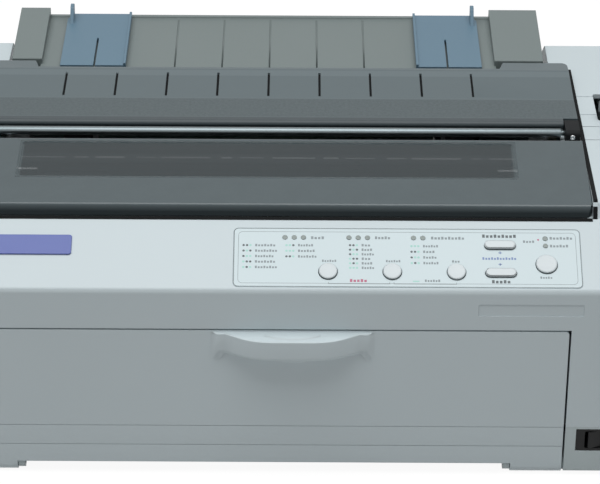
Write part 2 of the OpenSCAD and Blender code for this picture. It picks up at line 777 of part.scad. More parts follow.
module rear_cover() {
  color("#646E70", 0.9) from_front() {
    difference() {
      intersection() {
        along_x(cover_x0 + gap, cover_x1 - gap)
          polygon(rounded([
            [rear_axis_y + 3.5, cover_z, 0],
            [ramp_y, cover_z, 0], [rear_cover_end - 3, cover_z + ramp_rise, 3],
            [rear_cover_end + cover_step, cover_z + ramp_rise - 2, 1.5],
            [rear_cover_end + cover_step, seat_z + 0.3, 0],
            [rear_axis_y + 3.5, seat_z + 0.3, 0],
          ]));
        along_z(seat_z - 1, cover_z + 5)
          polygon(rounded([
            [cover_x0 + gap, rear_cover_start, 0], [cover_x1 - gap, rear_cover_start, 0],
            [cover_x1 - gap, rear_cover_end + cover_step - 0.1, 6],
            [cover_x1 - 40.5, rear_cover_end + cover_step - 0.1, 0],
            [cover_x1 - 43.5, rear_cover_end, 0],
            [cover_x0 + 30, rear_cover_end, 0],
            [cover_x0 + 27, rear_cover_end + cover_step - 0.1, 0],
            [cover_x0 + gap, rear_cover_end + cover_step - 0.1, 6],
          ]));
      }
      along_x(cover_x0 + gap + cover_t, cover_x1 - gap - cover_t)
        polygon([
          [rear_axis_y, seat_z - 5], [rear_axis_y, cover_z - cover_t],
          [ramp_y, cover_z - cover_t], [rear_cover_end - 3, cover_z - cover_t + ramp_rise],
          [rear_cover_end + cover_step - cover_t, cover_z - cover_t + ramp_rise - 2],
          [rear_cover_end + cover_step - cover_t, seat_z - 5],
        ]);
      for (i = [-4:4])
        translate([path_x + i * groove_pitch - groove_w / 2, ramp_y + 2, cover_z + 0.8])
          rotate([atan2(ramp_rise, rear_cover_end - 3 - ramp_y), 0, 0])
            translate([0, 0, -1.9]) cube([groove_w, rear_cover_end - ramp_y - 10, 5]);
    }
    // the bead along the front edge, round about the hinge axis
    along_x(bead_x0, bead_x1)
      polygon(rounded([
        [rear_cover_start, cover_z - 2 * bead_r, bead_r - 0.1],
        [rear_cover_start, cover_z, bead_r - 0.1],
        [rear_axis_y + 4.5, cover_z, 0], [rear_axis_y + 4.5, cover_z - cover_t + 0.1, 0],
        [rear_axis_y + bead_r, cover_z - cover_t + 0.1, 0],
        [rear_axis_y + bead_r, cover_z - 2 * bead_r, bead_r - 0.6],
      ]));
    bar_x(bead_x0 - 5, bead_x0 + eps, rear_axis_y, rear_axis_z, pin_r);
    bar_x(bead_x1 - eps, bead_x1 + 5, rear_axis_y, rear_axis_z, pin_r);
  }
}

// Brackets that carry the roller's ends and the rear cover's pins
module tension_brackets() {
  color("#33383B") from_front()
    for (x = [[cover_x0 + gap, well_x0 - 2], [well_x1 + 2, cover_x1 - gap]])
      difference() {
        along_x(x[0], x[1])
          polygon(rounded([
            [roller_y - 6, seat_z, 0], [roller_y - 6, roller_z + 3.7, 3],
            [rear_axis_y + 2.7, roller_z + 3.7, 2.6], [rear_axis_y + 2.7, seat_z, 0],
          ]));
        bar_x(x[0] - 1, x[1] + 1, roller_y, roller_z, 1.65);
        bar_x(x[0] - 1, x[1] + 1, rear_axis_y, rear_axis_z, pin_r + 0.05);
      }
}

module tension_roller() {
  color("#A8AEB2") from_front() {
    bar_x(well_x0 + 0.5, well_x1 - 0.5, roller_y, roller_z, roller_r);
    bar_x(cover_x0 + gap + 1, well_x0 + 0.5 + eps, roller_y, roller_z, 1.6);
    bar_x(well_x1 - 0.5 - eps, cover_x1 - gap - 1, roller_y, roller_z, 1.6);
  }
}

// ---- paper guide -----------------------------------------------------

guide_x0 = well_x0 + 2.5;
guide_x1 = well_x1 - guide_side;
guide_start = rear_cover_end + cover_step + 4.5;
guide_tip = rear_cover_end + 12;
guide_z = 157;
guide_rise = 3;
seam_pitch = 30.1;

// Height above the guide's flat base line at y
function guide_at(y) = guide_z + guide_rise * (y - guide_tip) / (guide_end - guide_tip);

module paper_guide() {
  color("#879191") from_front() {
    difference() {
      // the recessed floor
      along_x(guide_x0 + block_l - 1, guide_x1 - block_r + 1)
        polygon(rounded([
          [guide_tip, guide_z - 2.5, 0], [guide_end, guide_at(guide_end) - 2.5, 0],
          [guide_end, guide_at(guide_end) + 1.5, 1], [guide_end - 3, guide_at(guide_end) + 1.5, 1],
          [guide_end - 3, guide_at(guide_end - 3), 0], [guide_tip, guide_z, 0],
        ]));
      // shallow grooves along the paper's way
      for (i = [-2:2])
        along_x(path_x + i * seam_pitch - 0.5, path_x + i * seam_pitch + 0.5)
          polygon([
            [guide_tip - 1, guide_z - 0.7], [guide_end - 5, guide_at(guide_end - 5) - 0.7],
            [guide_end - 5, guide_at(guide_end - 5) + 1], [guide_tip - 1, guide_z + 1],
          ]);
    }
    // hollow end blocks
    for (x = [[guide_x0, guide_x0 + block_l], [guide_x1 - block_r, guide_x1]])
      difference() {
        intersection() {
          along_x(x[0], x[1])
            polygon(rounded([
              [guide_start, guide_z - 4, 0], [guide_end, guide_at(guide_end) - 4, 0],
              [guide_end, guide_at(guide_end) + 6.7, 2], [guide_start, guide_at(guide_start) + 4, 1],
            ]));
          along_z(guide_z - 10, guide_z + 20)
            polygon(plate_outline(x[0], guide_start - 1, x[1], guide_end, 1.5));
        }
        along_x(x[0] + 2, x[1] - 2)
          polygon([
            [guide_start + 2, guide_z - 5], [guide_end - 2, guide_at(guide_end) - 5],
            [guide_end - 2, guide_at(guide_end) + 4.5],
            [guide_start + 2, guide_at(guide_start) + 2],
          ]);
      }
    // cheeks with the guide's pivot pins
    for (x = [guide_x0, guide_x1 - 2])
      along_x(x, x + 2) {
        translate([cheek_y, cheek_z]) circle(r = 4);
        translate([cheek_y - 4, cheek_z]) square([8, 4]);
      }
    bar_x(well_x0 - 2, guide_x0 + eps, cheek_y, cheek_z, cheek_r);
    bar_x(guide_x1 - eps, well_x1 + 2, cheek_y, cheek_z, cheek_r);
  }
}

edge_start = guide_tip - 3;
edge_end = guide_end - 4;
edge_t = 2;
ear_h = 9;

// An edge guide whose outer side is at x, mirrored for the right one
module edge_guide(x, side) {
  color("#6E8CA0") from_front()
    translate([x, 0, 0]) mirror([side, 0, 0]) {
      lift = 1.6;
      difference() {
        along_x(0, edge_w)
          polygon([
            [edge_start, guide_at(edge_start) + lift], [edge_end, guide_at(edge_end) + lift],
            [edge_end, guide_at(edge_end) + lift + edge_t],
            [edge_start, guide_at(edge_start) + lift + edge_t],
          ]);
        // the springy tongue's slit
        block([21, edge_start - 1, guide_z], [22.2, edge_start + 38, guide_z + 20]);
        // tapered back corner
        along_z(guide_z, guide_z + 20)
          polygon([[-1, edge_end - 10], [4, edge_end + 1], [-1, edge_end + 1]]);
      }
      // the raised inner fence against which the paper runs
      along_x(edge_w - 1.5, edge_w)
        polygon([
          [edge_start, guide_at(edge_start) + lift], [edge_end, guide_at(edge_end) + lift],
          [edge_end, guide_at(edge_end) + lift + edge_t + 1.5],
          [edge_start, guide_at(edge_start) + lift + edge_t + 1.5],
        ]);
      // the upright ear
      along_x(2, 4.2)
        polygon(rounded([
          [edge_end - 16, guide_at(edge_end - 16) + lift + 1, 0],
          [edge_end - 2, guide_at(edge_end - 2) + lift + 1, 0],
          [edge_end - 1, guide_at(edge_end) + lift + edge_t + ear_h, 3],
          [edge_end - 8, guide_at(edge_end - 8) + lift + edge_t + ear_h, 3],
        ]));
      // the runner that slides on the floor 
      along_x(6, edge_w - 4)
        polygon([
          [edge_end - 3.5, guide_at(edge_end - 3.5) + 0.1], [edge_end, guide_at(edge_end) + 0.1],
          [edge_end, guide_at(edge_end) + lift + 0.5],
          [edge_end - 3.5, guide_at(edge_end - 3.5) + lift + 0.5],
        ]);
    }
}

edge_left_x = guide_x0 + block_l + 12;
edge_right_x = guide_x1 - block_r - 8.5;

module edge_guide_left() { edge_guide(edge_left_x, 0); }
module edge_guide_right() { edge_guide(edge_right_x, 1); }

// ---- chassis ---------------------------------------------------------

rail_y0 = 62;
rail_y1 = 94;
rail_z = 88;
cartridge_z = 120;

// Side view of a side frame
module frame_outline() {
  difference() {
    polygon(rounded([
      [58, floor_z, 0], [262, floor_z, 0], [262, 98, 6], [248, 130, 6], [222, 130, 4],
      [214, 138, 4], [160, 144, 4], [132, 146, 4], [112, 146, 4], [98, 132, 4],
      [98, cartridge_z, 0], [58, cartridge_z, 4],
    ]));
    translate([82, 28]) square([38, 40]);
    translate([200, 28]) square([38, 40]);
    translate([platen_y, platen_z]) circle(r = bush_r);
    translate([guide_shaft_y, guide_shaft_z]) circle(r = guide_r);
    translate([tractor_y, tractor_z]) circle(r = 5);
    translate([rod_y, rod_z]) circle(r = 3);
  }
}

module side_frame_left() {
  color("#9AA1A5") from_front() along_x(frame_l, frame_l_in) frame_outline();
}

module side_frame_right() {
  color("#9AA1A5") from_front() along_x(frame_r, frame_r + frame_t)
    difference() {
      frame_outline();
      translate(gear_at[2]) circle(r = 7);
    }
}

module front_rail() {
  color("#8E959A") from_front()
    difference() {
      union() {
        block([frame_l_in, rail_y0, rail_z], [frame_r, rail_y1, rail_z + 1.6]);
        block([frame_l_in, rail_y0, rail_z], [frame_r, rail_y0 + 1.6, rail_z + 12]);
        bar_z(idle_x, belt_y, rail_z, rail_z + 9.5, 2);
      }
      bar_z(drive_x, belt_y, rail_z - 1, rail_z + 3, 8);
    }
  // the bar between the side frames that the paper is torn against
  color("#8D9599") from_front()
    along_x(frame_l_in, frame_r)
      polygon([[121, 141], [126, 141], [128.5, 146], [127, 146], [124.5, 142.5], [121, 142.5]]);
}

module guide_shaft() {
  color("#C4C8CB") from_front() bar_x(frame_l, frame_r + frame_t, guide_shaft_y, guide_shaft_z, guide_r);
}

// ---- platen ----------------------------------------------------------

bush_r = 7;
gear_x0 = frame_r + frame_t + 2;
knob_hub_r = 7;

module platen_roller() {
  color("#2E2F31") from_front()
    difference() {
      bar_x(path_x - platen_len / 2, path_x + platen_len / 2, platen_y, platen_z, platen_r);
      bar_x(path_x - platen_len, path_x + platen_len, platen_y, platen_z, shaft_r);
    }
}

module platen_shaft() {
  color("#B9BEC2") from_front()
    bar_x(frame_l - 4, x_right + knob_out - 3, platen_y, platen_z, shaft_r);
}

module platen_bushes() {
  color("#D8D4C8") from_front()
    for (x = [frame_l - 2, frame_r])
      difference() {
        bar_x(x, x + frame_t + 2, platen_y, platen_z, bush_r);
        bar_x(x - 1, x + frame_t + 3, platen_y, platen_z, shaft_r + 0.05);
      }
}

module platen_knob() {
  color("#3A3F42") from_front()
    difference() {
      union() {
        bar_x(x_right - 18, x_right + 1, platen_y, platen_z, knob_hub_r);
        bar_x(x_right + 0.6, x_right + knob_out, platen_y, platen_z, knob_r);
      }
      bar_x(x_right - 19, x_right + knob_out - 3, platen_y, platen_z, shaft_r);
      for (i = [0:17])
        bar_x(x_right + 0.5, x_right + knob_out + 1,
              platen_y + (knob_r + 0.6) * cos(i * 20), platen_z + (knob_r + 0.6) * sin(i * 20), 1.3);
    }
}

// ---- gear train ------------------------------------------------------

// Teeth of the platen, idler, motor, transfer and tractor gears
gear_n = [28, 24, 10, 40, 32];
function pitch_r(i) = gear_n[i] * gear_m / 2;
function step(from, r, a) = from + r * [cos(a), sin(a)];
idler_dir = -40;
pinion_dir = -70;
transfer_dir = 5;
tractor_dir = 8;
gear_at = [
  [platen_y, platen_z],
  step([platen_y, platen_z], pitch_r(0) + pitch_r(1), idler_dir),
  step(step([platen_y, platen_z], pitch_r(0) + pitch_r(1), idler_dir),
       pitch_r(1) + pitch_r(2), pinion_dir),
  step(step([platen_y, platen_z], pitch_r(0) + pitch_r(1), idler_dir),
       pitch_r(1) + pitch_r(3), transfer_dir),
  step(step(step([platen_y, platen_z], pitch_r(0) + pitch_r(1), idler_dir),
            pitch_r(1) + pitch_r(3), transfer_dir),
       pitch_r(3) + pitch_r(4), tractor_dir),
];
// Angle of a tooth on gear j that meshes with gear i, which has a tooth at angle a
function mesh_angle(a, i, j, dir) = dir + 180 - ((a - dir) * gear_n[i] + 180) / gear_n[j];
tooth_a1 = mesh_angle(0, 0, 1, idler_dir);
tooth_a = [
  0,
  tooth_a1,
  mesh_angle(tooth_a1, 1, 2, pinion_dir),
  mesh_angle(tooth_a1, 1, 3, transfer_dir),
  mesh_angle(mesh_angle(tooth_a1, 1, 3, transfer_dir), 3, 4, tractor_dir),
];
tractor_y = gear_at[4][0];
tractor_z = gear_at[4][1];

// Outline of gear i about its own centre
function tooth_points(i) =
  let (n = gear_n[i], r = pitch_r(i), p = 360 / n)
  [for (k = [0:n - 1], q = [[-0.3, -1.2], [-0.2, 0], [-0.09, 0.85], [0.09, 0.85], [0.2, 0],
                            [0.3, -1.2]])
     let (a = tooth_a[i] + (k + q[0]) * p, d = r + q[1] * gear_m) [d * cos(a), d * sin(a)]];

module gear(i, x0, bore) {
  difference() {
    along_x(x0, x0 + gear_w) translate(gear_at[i]) polygon(tooth_points(i));
    bar_x(x0 - 1, x0 + gear_w + 1, gear_at[i][0], gear_at[i][1], bore);
  }
}

stud_r = 2.5;

module platen_gear() { color("#E4E0D2") from_front() gear(0, gear_x0, shaft_r); }
module idler_gear() { color("#E4E0D2") from_front() gear(1, gear_x0, stud_r + 0.05); }
module motor_pinion() { color("#C9A24A") from_front() gear(2, gear_x0, 1.5); }
module transfer_gear() { color("#E4E0D2") from_front() gear(3, gear_x0, stud_r + 0.05); }
module tractor_gear() { color("#E4E0D2") from_front() gear(4, gear_x0, square_half); }

module gear_studs() {
  color("#B9BEC2") from_front()
    for (i = [1, 3]) {
      bar_x(frame_r + frame_t, gear_x0 + gear_w + 2, gear_at[i][0], gear_at[i][1], stud_r);
      bar_x(gear_x0 + gear_w + 0.4, gear_x0 + gear_w + 2, gear_at[i][0], gear_at[i][1], 4);
    }
}

motor_len = 32;
motor_r = 18;

module feed_motor() {
  color("#7E8488") from_front() {
    bar_x(frame_r - motor_len, frame_r, gear_at[2][0], gear_at[2][1] - 6, motor_r);
    bar_x(frame_r - eps, frame_r + frame_t + 0.3, gear_at[2][0], gear_at[2][1], 6);
  }
}

// ---- carriage, head and ribbon ---------------------------------------

belt_y = 78;
belt_z0 = rail_z + 3.5;
belt_z1 = belt_z0 + 5;
pulley_r = 7;
drive_x = frame_l_in + 16;
idle_x = frame_r - 14;
belt_t = 1;

module carriage() {
  color("#34383A") from_front()
    difference() {
      union() {
        along_x(head_x - 24, head_x + 24)
          polygon(rounded([
            [89, 93, 2], [117, 93, 3], [120, 104, 3], [120, 110.7, 1], [92, 110.7, 1],
            [92, 104, 0], [89, 104, 0],
          ]));
        // arm that rides over the front rail's flange
        block([head_x - 14, rail_y0 - 3, rail_z + 12.3], [head_x + 14, 93, rail_z + 15.5]);
        block([head_x - 14, rail_y0 - 3, rail_z + 7], [head_x + 14, rail_y0 - 0.5, rail_z + 12.5]);
        // belt clamp, a slotted block behind the belt's rear run
        block([head_x - 9, belt_y + pulley_r + belt_t + 0.3, belt_z0 - 1.5],
              [head_x + 9, 90, belt_z1 + 1.5]);
      }
      bar_x(head_x - 30, head_x + 30, guide_shaft_y, guide_shaft_z, guide_r + 0.06);
    }
}

fin_count = 7;
nose_y = platen_y - platen_r - 1.6;

module print_head() {
  color("#3F4447") from_front() {
    difference() {
      block([head_x - 19, 100, 110.7], [head_x + 19, nose_y - 5, 136]);
      // cooling fins
      for (i = [0:fin_count - 1])
        block([head_x - 16.5 + i * 5, 99, 120], [head_x - 13.5 + i * 5, nose_y - 12, 137]);
    }
    along_z(platen_z - 6, platen_z + 7)
      polygon([
        [head_x - 11, nose_y - 5 - eps], [head_x + 11, nose_y - 5 - eps],
        [head_x + 4, nose_y], [head_x - 4, nose_y],
      ]);
  }
}

arm_x = [frame_l_in + 3, frame_r - 9];

module ribbon_cartridge() {
  color("#2A2C2E") from_front() {
    difference() {
      along_z(cartridge_z, cartridge_z + 16)
        polygon(rounded([
          [frame_l, 60, 6], [frame_r + frame_t, 60, 6], [frame_r + frame_t, 96, 4],
          [frame_l, 96, 4],
        ]));
      along_z(cartridge_z + 14.5, cartridge_z + 17)
        polygon(plate_outline(frame_l + 40, 65, frame_r - 40, 91, 3));
      bar_z(ribbon_knob_x, 78, cartridge_z + 6, cartridge_z + 17, 5.05);
    }
    // handle rib inside the lid's recess
    block([path_x - 50, 76, cartridge_z + 14], [path_x + 50, 79, cartridge_z + 20]);
    // arms that lead the ribbon to the printing line
    for (x = arm_x)
      along_z(cartridge_z + 2, cartridge_z + 14)
        polygon([[x, 95], [x + 6, 95], [x + 6, 124], [x + 4, nose_y + 0.5],
                 [x + 2, nose_y + 0.5], [x, 124]]);
    // the ribbon
    block([arm_x[0] + 3, nose_y + 0.4, platen_z - 6], [arm_x[1] + 3, nose_y + 0.8, platen_z + 7]);
  }
}
ribbon_knob_x = frame_l + 24;

module ribbon_knob() {
  color("#4A4E51") from_front() {
    bar_z(ribbon_knob_x, 78, cartridge_z + 6.5, cartridge_z + 17, 5);
    difference() {
      bar_z(ribbon_knob_x, 78, cartridge_z + 16.5, cartridge_z + 21, 9);
      for (i = [0:11])
        bar_z(ribbon_knob_x + 9.5 * cos(i * 30), 78 + 9.5 * sin(i * 30), cartridge_z + 16,
              cartridge_z + 22, 1.3);
    }
  }
}

module carriage_motor() {
  color("#7E8488") from_front() {
    bar_z(drive_x, belt_y, rail_z - 30, rail_z, 15);
    bar_z(drive_x, belt_y, rail_z - eps, rail_z + 1.5, 6);
  }
}

module pulley(x, bore) {
  difference() {
    union() {
      bar_z(x, belt_y, belt_z0 - 1, belt_z1 + 1, pulley_r - 0.3);
      for (z = [belt_z0 - 1.3, belt_z1 + 0.3])
        bar_z(x, belt_y, z, z + 1, pulley_r + 1.5);
    }
    if (bore > 0)
      bar_z(x, belt_y, belt_z0 - 2, belt_z1 + 2, bore);
  }
}

module drive_pulley() {
  color("#C9A24A") from_front() {
    pulley(drive_x, 0);
    bar_z(drive_x, belt_y, rail_z + 1.7, belt_z0 - 1, 1.5);
  }
}
module idle_pulley() { color("#E4E0D2") from_front() pulley(idle_x, 2.05); }

module belt_loop(r) {
  for (x = [drive_x, idle_x]) translate([x, belt_y]) circle(r = r);
  translate([drive_x, belt_y - r]) square([idle_x - drive_x, 2 * r]);
}

module carriage_belt() {
  color("#1F2123") from_front()
    along_z(belt_z0, belt_z1)
      difference() {
        belt_loop(pulley_r + belt_t);
        belt_loop(pulley_r);
      }
}

// ---- lower paper path and tractors -----------------------------------

module paper_chute() {
  inner = platen_r + 1.5;
  chute_end = rod_y - 11;
  color("#6B7275") from_front() {
    along_x(frame_l_in + 0.2, frame_r - 0.2)
      difference() {
        union() {
          intersection() {
            translate([platen_y, platen_z]) circle(r = inner + 1.5, $fn = 96);
            translate([platen_y - 12, platen_z - 40]) square([12 + inner, 40 - 6]);
          }
          polygon([
            [platen_y, platen_z - inner - 1.5], [chute_end, tractor_z + 3],
            [chute_end, tractor_z + 5], [platen_y + 6, platen_z - inner + 1.5],
          ]);
        }
        translate([platen_y, platen_z]) circle(r = inner, $fn = 96);
      }
  }
}

square_half = 3;
rod_y = tractor_y - 2 * tractor_reach;
rod_z = tractor_z - 6;

module tractor_shaft() {
  color("#B9BEC2") from_front() {
    block([frame_l_in, tractor_y - square_half, tractor_z - square_half],
          [gear_x0, tractor_y + square_half, tractor_z + square_half]);
    bar_x(frame_l - 2, frame_l_in + 0.5, tractor_y, tractor_z, 4.4);
    bar_x(frame_r - 0.5, gear_x0, tractor_y, tractor_z, 4.4);
    bar_x(gear_x0 - eps, gear_x0 + gear_w + 1, tractor_y, tractor_z, square_half);
  }
}

module tractor_rod() {
  color("#B9BEC2") from_front() bar_x(frame_l - 1, frame_r + frame_t, rod_y, rod_z, 3);
}

// Side view of a tractor, a housing around the drive shaft and the rod
module tractor_outline(grow) {
  polygon(rounded([
    [rod_y - 9 - grow, tractor_z - 14, 4], [tractor_y + 12 + grow, tractor_z - 14, 6],
    [tractor_y + 12 + grow, tractor_z + 10, 6], [rod_y - 9 - grow, tractor_z + 10, 4],
  ]));
}

pin_step = 12.7;

// A tractor whose middle is at x, with its open side towards the paper
module tractor(x, side) {
  color("#3C4043") from_front()
    translate([x, 0, 0]) mirror([side, 0, 0]) {
      difference() {
        along_x(-tractor_w / 2, tractor_w / 2) tractor_outline(0);
        bar_x(-tractor_w, tractor_w, rod_y, rod_z, 3.05);
        bar_x(-tractor_w, tractor_w, tractor_y, tractor_z, 4.6);
        // the slot in which the pins run
        block([1.5, rod_y - 10, tractor_z + 8], [4.5, tractor_y + 13, tractor_z + 11]);
      }
      // the pins that carry the paper's holes
      for (i = [0:2])
        translate([3, rod_y + 3 + i * pin_step, tractor_z + 8 - eps]) {
          cylinder(h = 2.4, r = 1.4);
          translate([0, 0, 2.4 - eps]) cylinder(h = 1.2, r1 = 1.4, r2 = 0.7);
        }
      // ears for the lid
      for (y = [rod_y - 6, tractor_y + 5])
        along_y(y, y + 3)
          difference() {
            union() {
              translate([-tractor_w / 2 + 1.9, tractor_z + 12.2]) circle(r = 1.9);
              translate([-tractor_w / 2, tractor_z + 9]) square([3.8, 3.2]);
            }
            translate([-tractor_w / 2 + 1.9, tractor_z + 12.2]) circle(r = 0.85);
          }
    }
}

module tractor_left() { tractor(tractor_l, 0); }
module tractor_right() { tractor(tractor_r, 1); }

// The lid that presses the paper onto the pins
module tractor_lid(x, side) {
  lid_z = tractor_z + 12.2;
  color("#54595C") from_front()
    translate([x, 0, 0]) mirror([side, 0, 0]) {
      difference() {
        union() {
          block([-tractor_w / 2 + 1.9, rod_y - 2.7, lid_z + 0.2],
                [tractor_w / 2, tractor_y + 4.7, lid_z + 1.9]);
          block([-tractor_w / 2 + 4.6, rod_y - 7, lid_z + 0.2],
                [tractor_w / 2, tractor_y + 10, lid_z + 1.9]);
          along_y(rod_y - 2.7, tractor_y + 4.7)
            translate([-tractor_w / 2 + 1.9, lid_z]) circle(r = 1.9);
        }
        // the slot that lets the pins through
        block([1.2, rod_y - 3, lid_z - 1], [4.8, tractor_y + 5, lid_z + 3]);
      }
      along_y(rod_y - 5.5, tractor_y + 7.5)
        translate([-tractor_w / 2 + 1.9, lid_z]) circle(r = 0.8);
    }
}

module tractor_lids_left() { tractor_lid(tractor_l, 0); }
module tractor_lids_right() { tractor_lid(tractor_r, 1); }

// ---- release lever ---------------------------------------------------

lever_x = x_right - 11;
lever_y = 191;
lever_z = 98;
lever_lean = 28;
lever_throw = 20;
lever_len = 76;
lever_reach = (top_z - lever_z);
lever_slot = [
  lever_y - lever_reach * tan(lever_lean) - 7,
  lever_y - lever_reach * tan(lever_lean - lever_throw) + 7,
];

module release_lever() {
  color("#5A6164") from_front()
    translate([0, lever_y, lever_z]) rotate([lever_lean, 0, 0])
      difference() {
        union() {
          bar_x(lever_x - 2.7, lever_x + 2.7, 0, 0, 7);
          along_x(lever_x - 2, lever_x + 2)
            polygon(rounded([
              [-5, 0, 0], [5, 0, 0], [3.5, lever_len - 8, 2], [4.5, lever_len, 2],
              [-4.5, lever_len, 2], [-3.5, lever_len - 8, 2],
            ]));
          bar_x(lever_x - 4, lever_x + 4, 0, lever_len, 3.5);
        }
        bar_x(lever_x - 5, lever_x + 5, 0, 0, 3.05);
      }
}

// ---- electronics -----------------------------------------------------

main_z = 30;
power_z = 24;
board_t = 1.6;
main_x = [x_left + 35, path_x + 34];
power_x = [path_x + 44, x_right - 55];
board_y = [186, body_d - wall - 1];
board_posts = [
  for (x = [main_x[0] + 8, main_x[1] - 8], y = [board_y[0] + 8, board_y[1] - 20]) [x, y, main_z],
  for (x = [power_x[0] + 8, power_x[1] - 8], y = [board_y[0] + 8, board_y[1] - 20]) [x, y, power_z],
];
port_z = main_z + board_t;
parallel_x = [main_x[0] + 32, main_x[0] + 100];
usb_x = [main_x[0] + 122, main_x[0] + 135];
inlet_x = [power_x[1] - 50, power_x[1] - 20];
inlet_z = [40, 65];
port_gap = 0.5;

module port_holes() {
  along_y(body_d - wall - 1, body_d + 1) {
    translate([parallel_x[0] - port_gap, port_z + 4 - port_gap])
      square([parallel_x[1] - parallel_x[0] + 2 * port_gap, 14 + 2 * port_gap]);
    translate([usb_x[0] - port_gap, port_z + 4 - port_gap])
      square([usb_x[1] - usb_x[0] + 2 * port_gap, 11 + 2 * port_gap]);
    translate([inlet_x[0], inlet_z[0]])
      square([inlet_x[1] - inlet_x[0], inlet_z[1] - inlet_z[0]]);
  }
}

module main_board() {
  color("#2F6B46") from_front() {
    block([main_x[0], board_y[0], main_z], [main_x[1], board_y[1], main_z + board_t]);
    for (c = [[52, 82, 210, 240, 5], [102, 127, 215, 230, 5], [142, 162, 210, 255, 12]])
      block([main_x[0] + c[0], c[2], main_z + board_t - eps], [main_x[0] + c[1], c[3], main_z + c[4]]);
    for (i = [0:3])
      bar_z(main_x[0] + 22 + i * 12, 262, main_z + board_t - eps, main_z + 14, 4);
  }
}

module power_board() {
  color("#7A6A38") from_front() {
    block([power_x[0], board_y[0], power_z], [power_x[1], board_y[1], power_z + board_t]);
    block([power_x[1] - 58, 235, power_z + board_t - eps], [power_x[1] - 10, 280, power_z + 42]);
    block([power_x[0] + 10, 220, power_z + board_t - eps], [power_x[0] + 14, 300, power_z + 34]);
    for (i = [0:2])
      bar_z(power_x[0] + 34, 222 + i * 26, power_z + board_t - eps, power_z + 32, 10);
  }
}

module ac_inlet() {
  color("#1C1E20") from_front() {
    difference() {
      block([inlet_x[0] + 0.2, body_d - 22, inlet_z[0] + 0.2],
            [inlet_x[1] - 0.2, body_d, inlet_z[1] - 0.2]);
      along_y(body_d - 17, body_d + 1)
        polygon(rounded([
          [inlet_x[0] + 3.5, inlet_z[0] + 4, 1], [inlet_x[1] - 3.5, inlet_z[0] + 4, 1],
          [inlet_x[1] - 3.5, inlet_z[1] - 9, 1], [inlet_x[1] - 8, inlet_z[1] - 4.5, 1],
          [inlet_x[0] + 8, inlet_z[1] - 4.5, 1], [inlet_x[0] + 3.5, inlet_z[1] - 9, 1],
        ]));
    }
    // three contact blades
    for (p = [[-7, 12], [0, 16], [7, 12]])
      block([(inlet_x[0] + inlet_x[1]) / 2 + p[0] - 1, body_d - 18, inlet_z[0] + p[1] - 2],
            [(inlet_x[0] + inlet_x[1]) / 2 + p[0] + 1, body_d - 3, inlet_z[0] + p[1] + 2]);
  }
}

module interface_ports() {
  color("#AEB4B8") from_front() {
    difference() {
      block([parallel_x[0], body_d - 18, port_z], [parallel_x[1], body_d - wall - 0.2, port_z + 20]);
      block([parallel_x[0] + 6, body_d - 14, port_z + 5], [parallel_x[1] - 6, body_d, port_z + 17]);
    }
    difference() {
      block([parallel_x[0] + 4, body_d - 18, port_z + 4.4],
            [parallel_x[1] - 4, body_d - 0.5, port_z + 17.6]);
      block([parallel_x[0] + 6, body_d - 14, port_z + 5], [parallel_x[1] - 6, body_d, port_z + 17]);
    }
    block([parallel_x[0] + 12, body_d - 15, port_z + 9.5], [parallel_x[1] - 12, body_d - 3, port_z + 12.5]);
    difference() {
      block([usb_x[0], body_d - 17, port_z], [usb_x[1], body_d - wall - 0.2, port_z + 15]);
      block([usb_x[0] + 2, body_d - 15, port_z + 5.5], [usb_x[1] - 2, body_d + 1, port_z + 13]);
    }
    difference() {
      block([usb_x[0] + 0.5, body_d - 17, port_z + 4.2],
            [usb_x[1] - 0.5, body_d - 0.5, port_z + 14.5]);
      block([usb_x[0] + 2, body_d - 15, port_z + 5.5], [usb_x[1] - 2, body_d + 1, port_z + 13]);
    }
    block([usb_x[0] + 4, body_d - 16, port_z + 8], [usb_x[1] - 4, body_d - 4, port_z + 10.5]);
  }
}

base_tray();
upper_case();
rubber_feet();
case_screws();
badge_plate();
panel_sheet();
panel_lights();
panel_board();
button_1();
button_2();
button_3();
oval_button_1();
oval_button_2();
large_button();
switch_bezel();
power_rocker();
front_door();
front_chute();
printer_cover();
rear_cover();
tension_brackets();
tension_roller();
paper_guide();
edge_guide_left();
edge_guide_right();
side_frame_left();
side_frame_right();
front_rail();
guide_shaft();
platen_roller();
platen_shaft();
platen_gear();
platen_knob();
platen_bushes();
paper_chute();
carriage();
print_head();
ribbon_cartridge();
ribbon_knob();
carriage_motor();
drive_pulley();
idle_pulley();
carriage_belt();
feed_motor();
motor_pinion();
idler_gear();
transfer_gear();
gear_studs();
tractor_gear();
tractor_shaft();
tractor_rod();
tractor_left();
tractor_right();
tractor_lids_left();
tractor_lids_right();
release_lever();
main_board();
power_board();
ac_inlet();
interface_ports();
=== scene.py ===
"""Narrow dot matrix printer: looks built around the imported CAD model.

The frame has x to the right, y to the back and z up, in metres, with its origin on the
table top under the middle of the footprint. Sizes below are in millimetres.
"""

import json
import math

import bpy
from mathutils import Matrix, Vector

